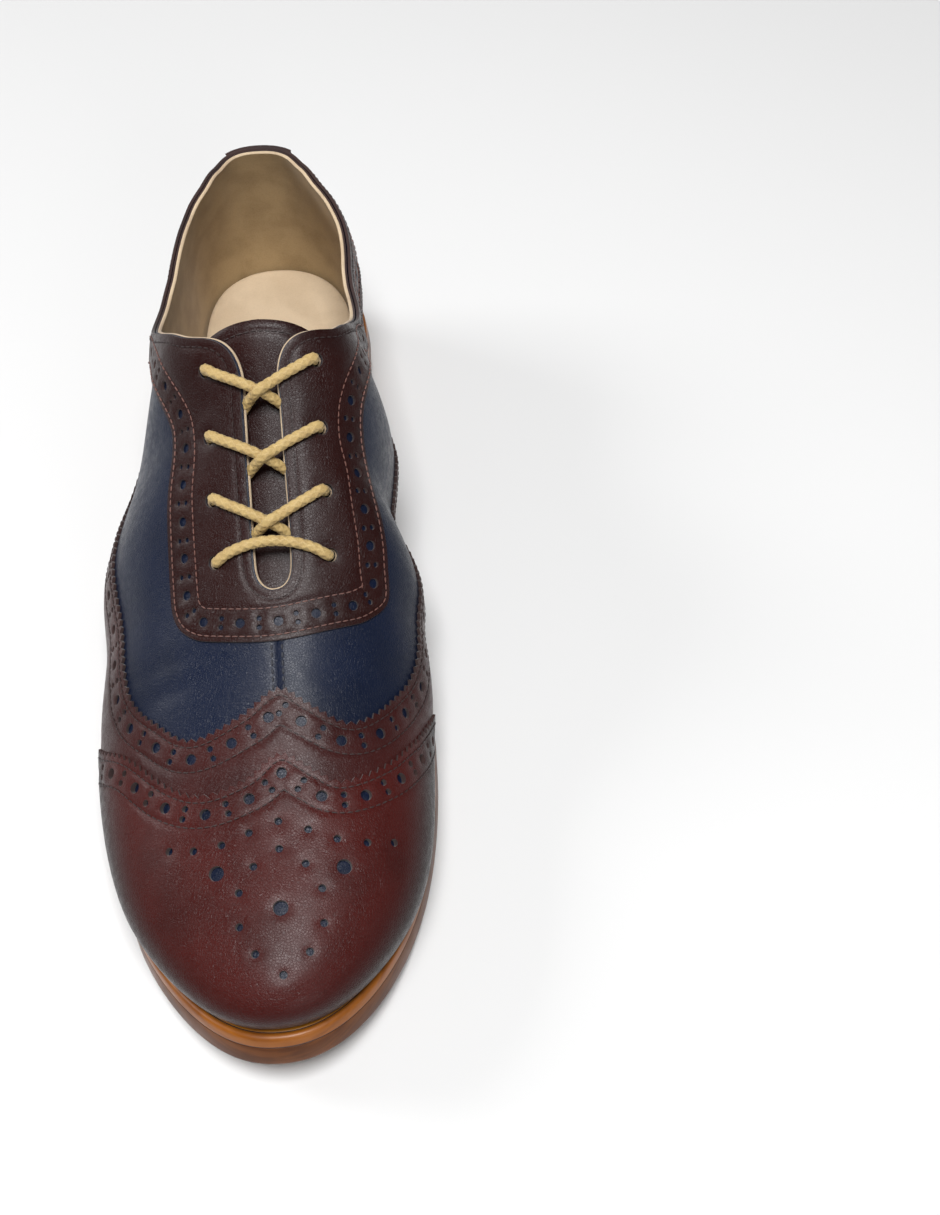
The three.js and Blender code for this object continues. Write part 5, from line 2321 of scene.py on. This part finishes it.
    def build_heel(self) -> None:
        """Build the heel's lifts and its top piece."""
        last = self.last
        top = last.heel_seat - last.sole_thickness - 0.05
        low = self.top_piece + 0.05
        lifts = 2
        pitch = (top - low) / lifts
        profile = [(0.35, top), (0.0, top - 0.25)]
        for lift in range(1, lifts):
            seam = top - lift * pitch
            profile += [(0.0, seam + 0.22), (0.22, seam), (0.0, seam - 0.22)]
        profile += [(0.0, low + 0.25), (0.3, low)]
        kinds = [0] * (len(profile) + 1)
        piece = self.block(profile, kinds).build(last, "heel_lifts", WARDROBE(HEEL_EDGE), 50.0)
        settle(piece, "edge_leather", "heel_stack")
        profile = [(0.3, self.top_piece), (0.0, self.top_piece - 0.25)]
        profile += [(0.0, 0.5), (0.15, 0.15), (0.45, 0.0), (8.0, 0.0)]
        kinds = [0, 0, 0, 0, 0, 1, 1]
        piece = self.block(profile, kinds).build(last, "heel_top_layer", WARDROBE(HEEL_EDGE, TOP_FACE), 50.0)
        settle(piece, "top_piece", "heel_top_piece")


@dataclass
class Studio:
    """Floor, lights and camera."""

    last: Last
    eye: tuple[float, float, float] = (53.1, -263.2, 415.9)
    yaw: float = 2.04
    pitch: float = 57.3
    roll: float = -1.61
    focal_pixels: float = 1466.7
    image_height: float = 1215.0
    sensor: float = 36.0

    def build(self) -> None:
        """Set up the floor, the lights and the camera."""
        self.build_floor()
        self.build_lights()
        self.build_camera()

    def build_floor(self) -> None:
        """Lay a wide pale floor."""
        half = 4.0
        mesh = bpy.data.meshes.new("studio_floor")
        corners = [(-half, -half, 0), (half, -half, 0), (half, half, 0), (-half, half, 0)]
        mesh.from_pydata(corners, [], [(0, 1, 2, 3)])
        floor = bpy.data.objects.new("studio_floor", mesh)
        bpy.context.scene.collection.objects.link(floor)
        graph = Graph("studio_floor")
        mesh.materials.append(graph.finish(Base_Color=(0.72, 0.72, 0.72), Roughness=0.9))

    def area(
        self, name: str, size: float, power: float, place: Sequence[float], aim: Sequence[float]
    ) -> None:
        """Hang one soft square light that looks at a point.

        Args:
            name: Name of the light.
            size: Length of its sides.
            power: Power in watts.
            place: Where it hangs, in metres.
            aim: What it looks at.
        """
        light = bpy.data.lights.new(name, "AREA")
        light.size = size
        light.energy = power
        lamp = bpy.data.objects.new(name, light)
        lamp.location = place
        lamp.rotation_euler = (Vector(aim) - Vector(place)).to_track_quat("-Z", "Y").to_euler()
        bpy.context.scene.collection.objects.link(lamp)

    def build_lights(self) -> None:
        """Hang a softbox overhead and weaker ones at the sides, in a pale room."""
        self.area("overhead", 0.5, 20.0, (0.06, -0.3, 1.3), (0, 0, 0))
        self.area("left", 0.5, 8.0, (-1.1, 0.4, 0.8), (0, 0, 0.03))
        self.area("front", 0.6, 3.0, (0.5, -1.2, 0.7), (0, 0, 0.03))
        world = bpy.data.worlds.new("pale_room")
        world.use_nodes = True
        background = world.node_tree.nodes["Background"]
        background.inputs["Color"].default_value = (1.0, 1.0, 1.0, 1.0)
        background.inputs["Strength"].default_value = 0.1
        bpy.context.scene.world = world
        bpy.context.scene.view_settings.view_transform = "Standard"

    def build_camera(self) -> None:
        """Set the camera at the photograph's angle."""
        yaw, pitch, roll = (math.radians(angle) for angle in (self.yaw, self.pitch, self.roll))
        ahead = Vector((math.sin(yaw) * math.cos(pitch), math.cos(yaw) * math.cos(pitch), -math.sin(pitch)))
        level = Vector((math.cos(yaw), -math.sin(yaw), 0))
        rise = level.cross(ahead)
        right = level * math.cos(roll) + rise * math.sin(roll)
        up = rise * math.cos(roll) - level * math.sin(roll)
        lens = bpy.data.cameras.new("camera")
        lens.sensor_width = self.sensor
        lens.lens = self.focal_pixels * self.sensor / self.image_height
        lens.clip_start = 0.01
        camera = bpy.data.objects.new("camera", lens)
        turn = Matrix((right, up, -ahead)).transposed().to_4x4()
        spot = (np.array(self.eye) + self.last.origin) * MM
        camera.matrix_world = Matrix.Translation(Vector(spot)) @ turn
        bpy.context.scene.collection.objects.link(camera)
        bpy.context.scene.camera = camera


def main() -> None:
    logging.basicConfig(level=logging.INFO, format="%(message)s")
    last = Last()
    mouth = Mouth()
    facings = Facings(last, mouth)
    Studio(last).build()
    Bottom(last).build()
    UpperBody(last, mouth, facings.eyelets()).build()
    WingTip(last).build()
    facings.build()
    Tongue(last, mouth).build()
    Laces(last, facings).build()


if __name__ == "__main__":
    main()
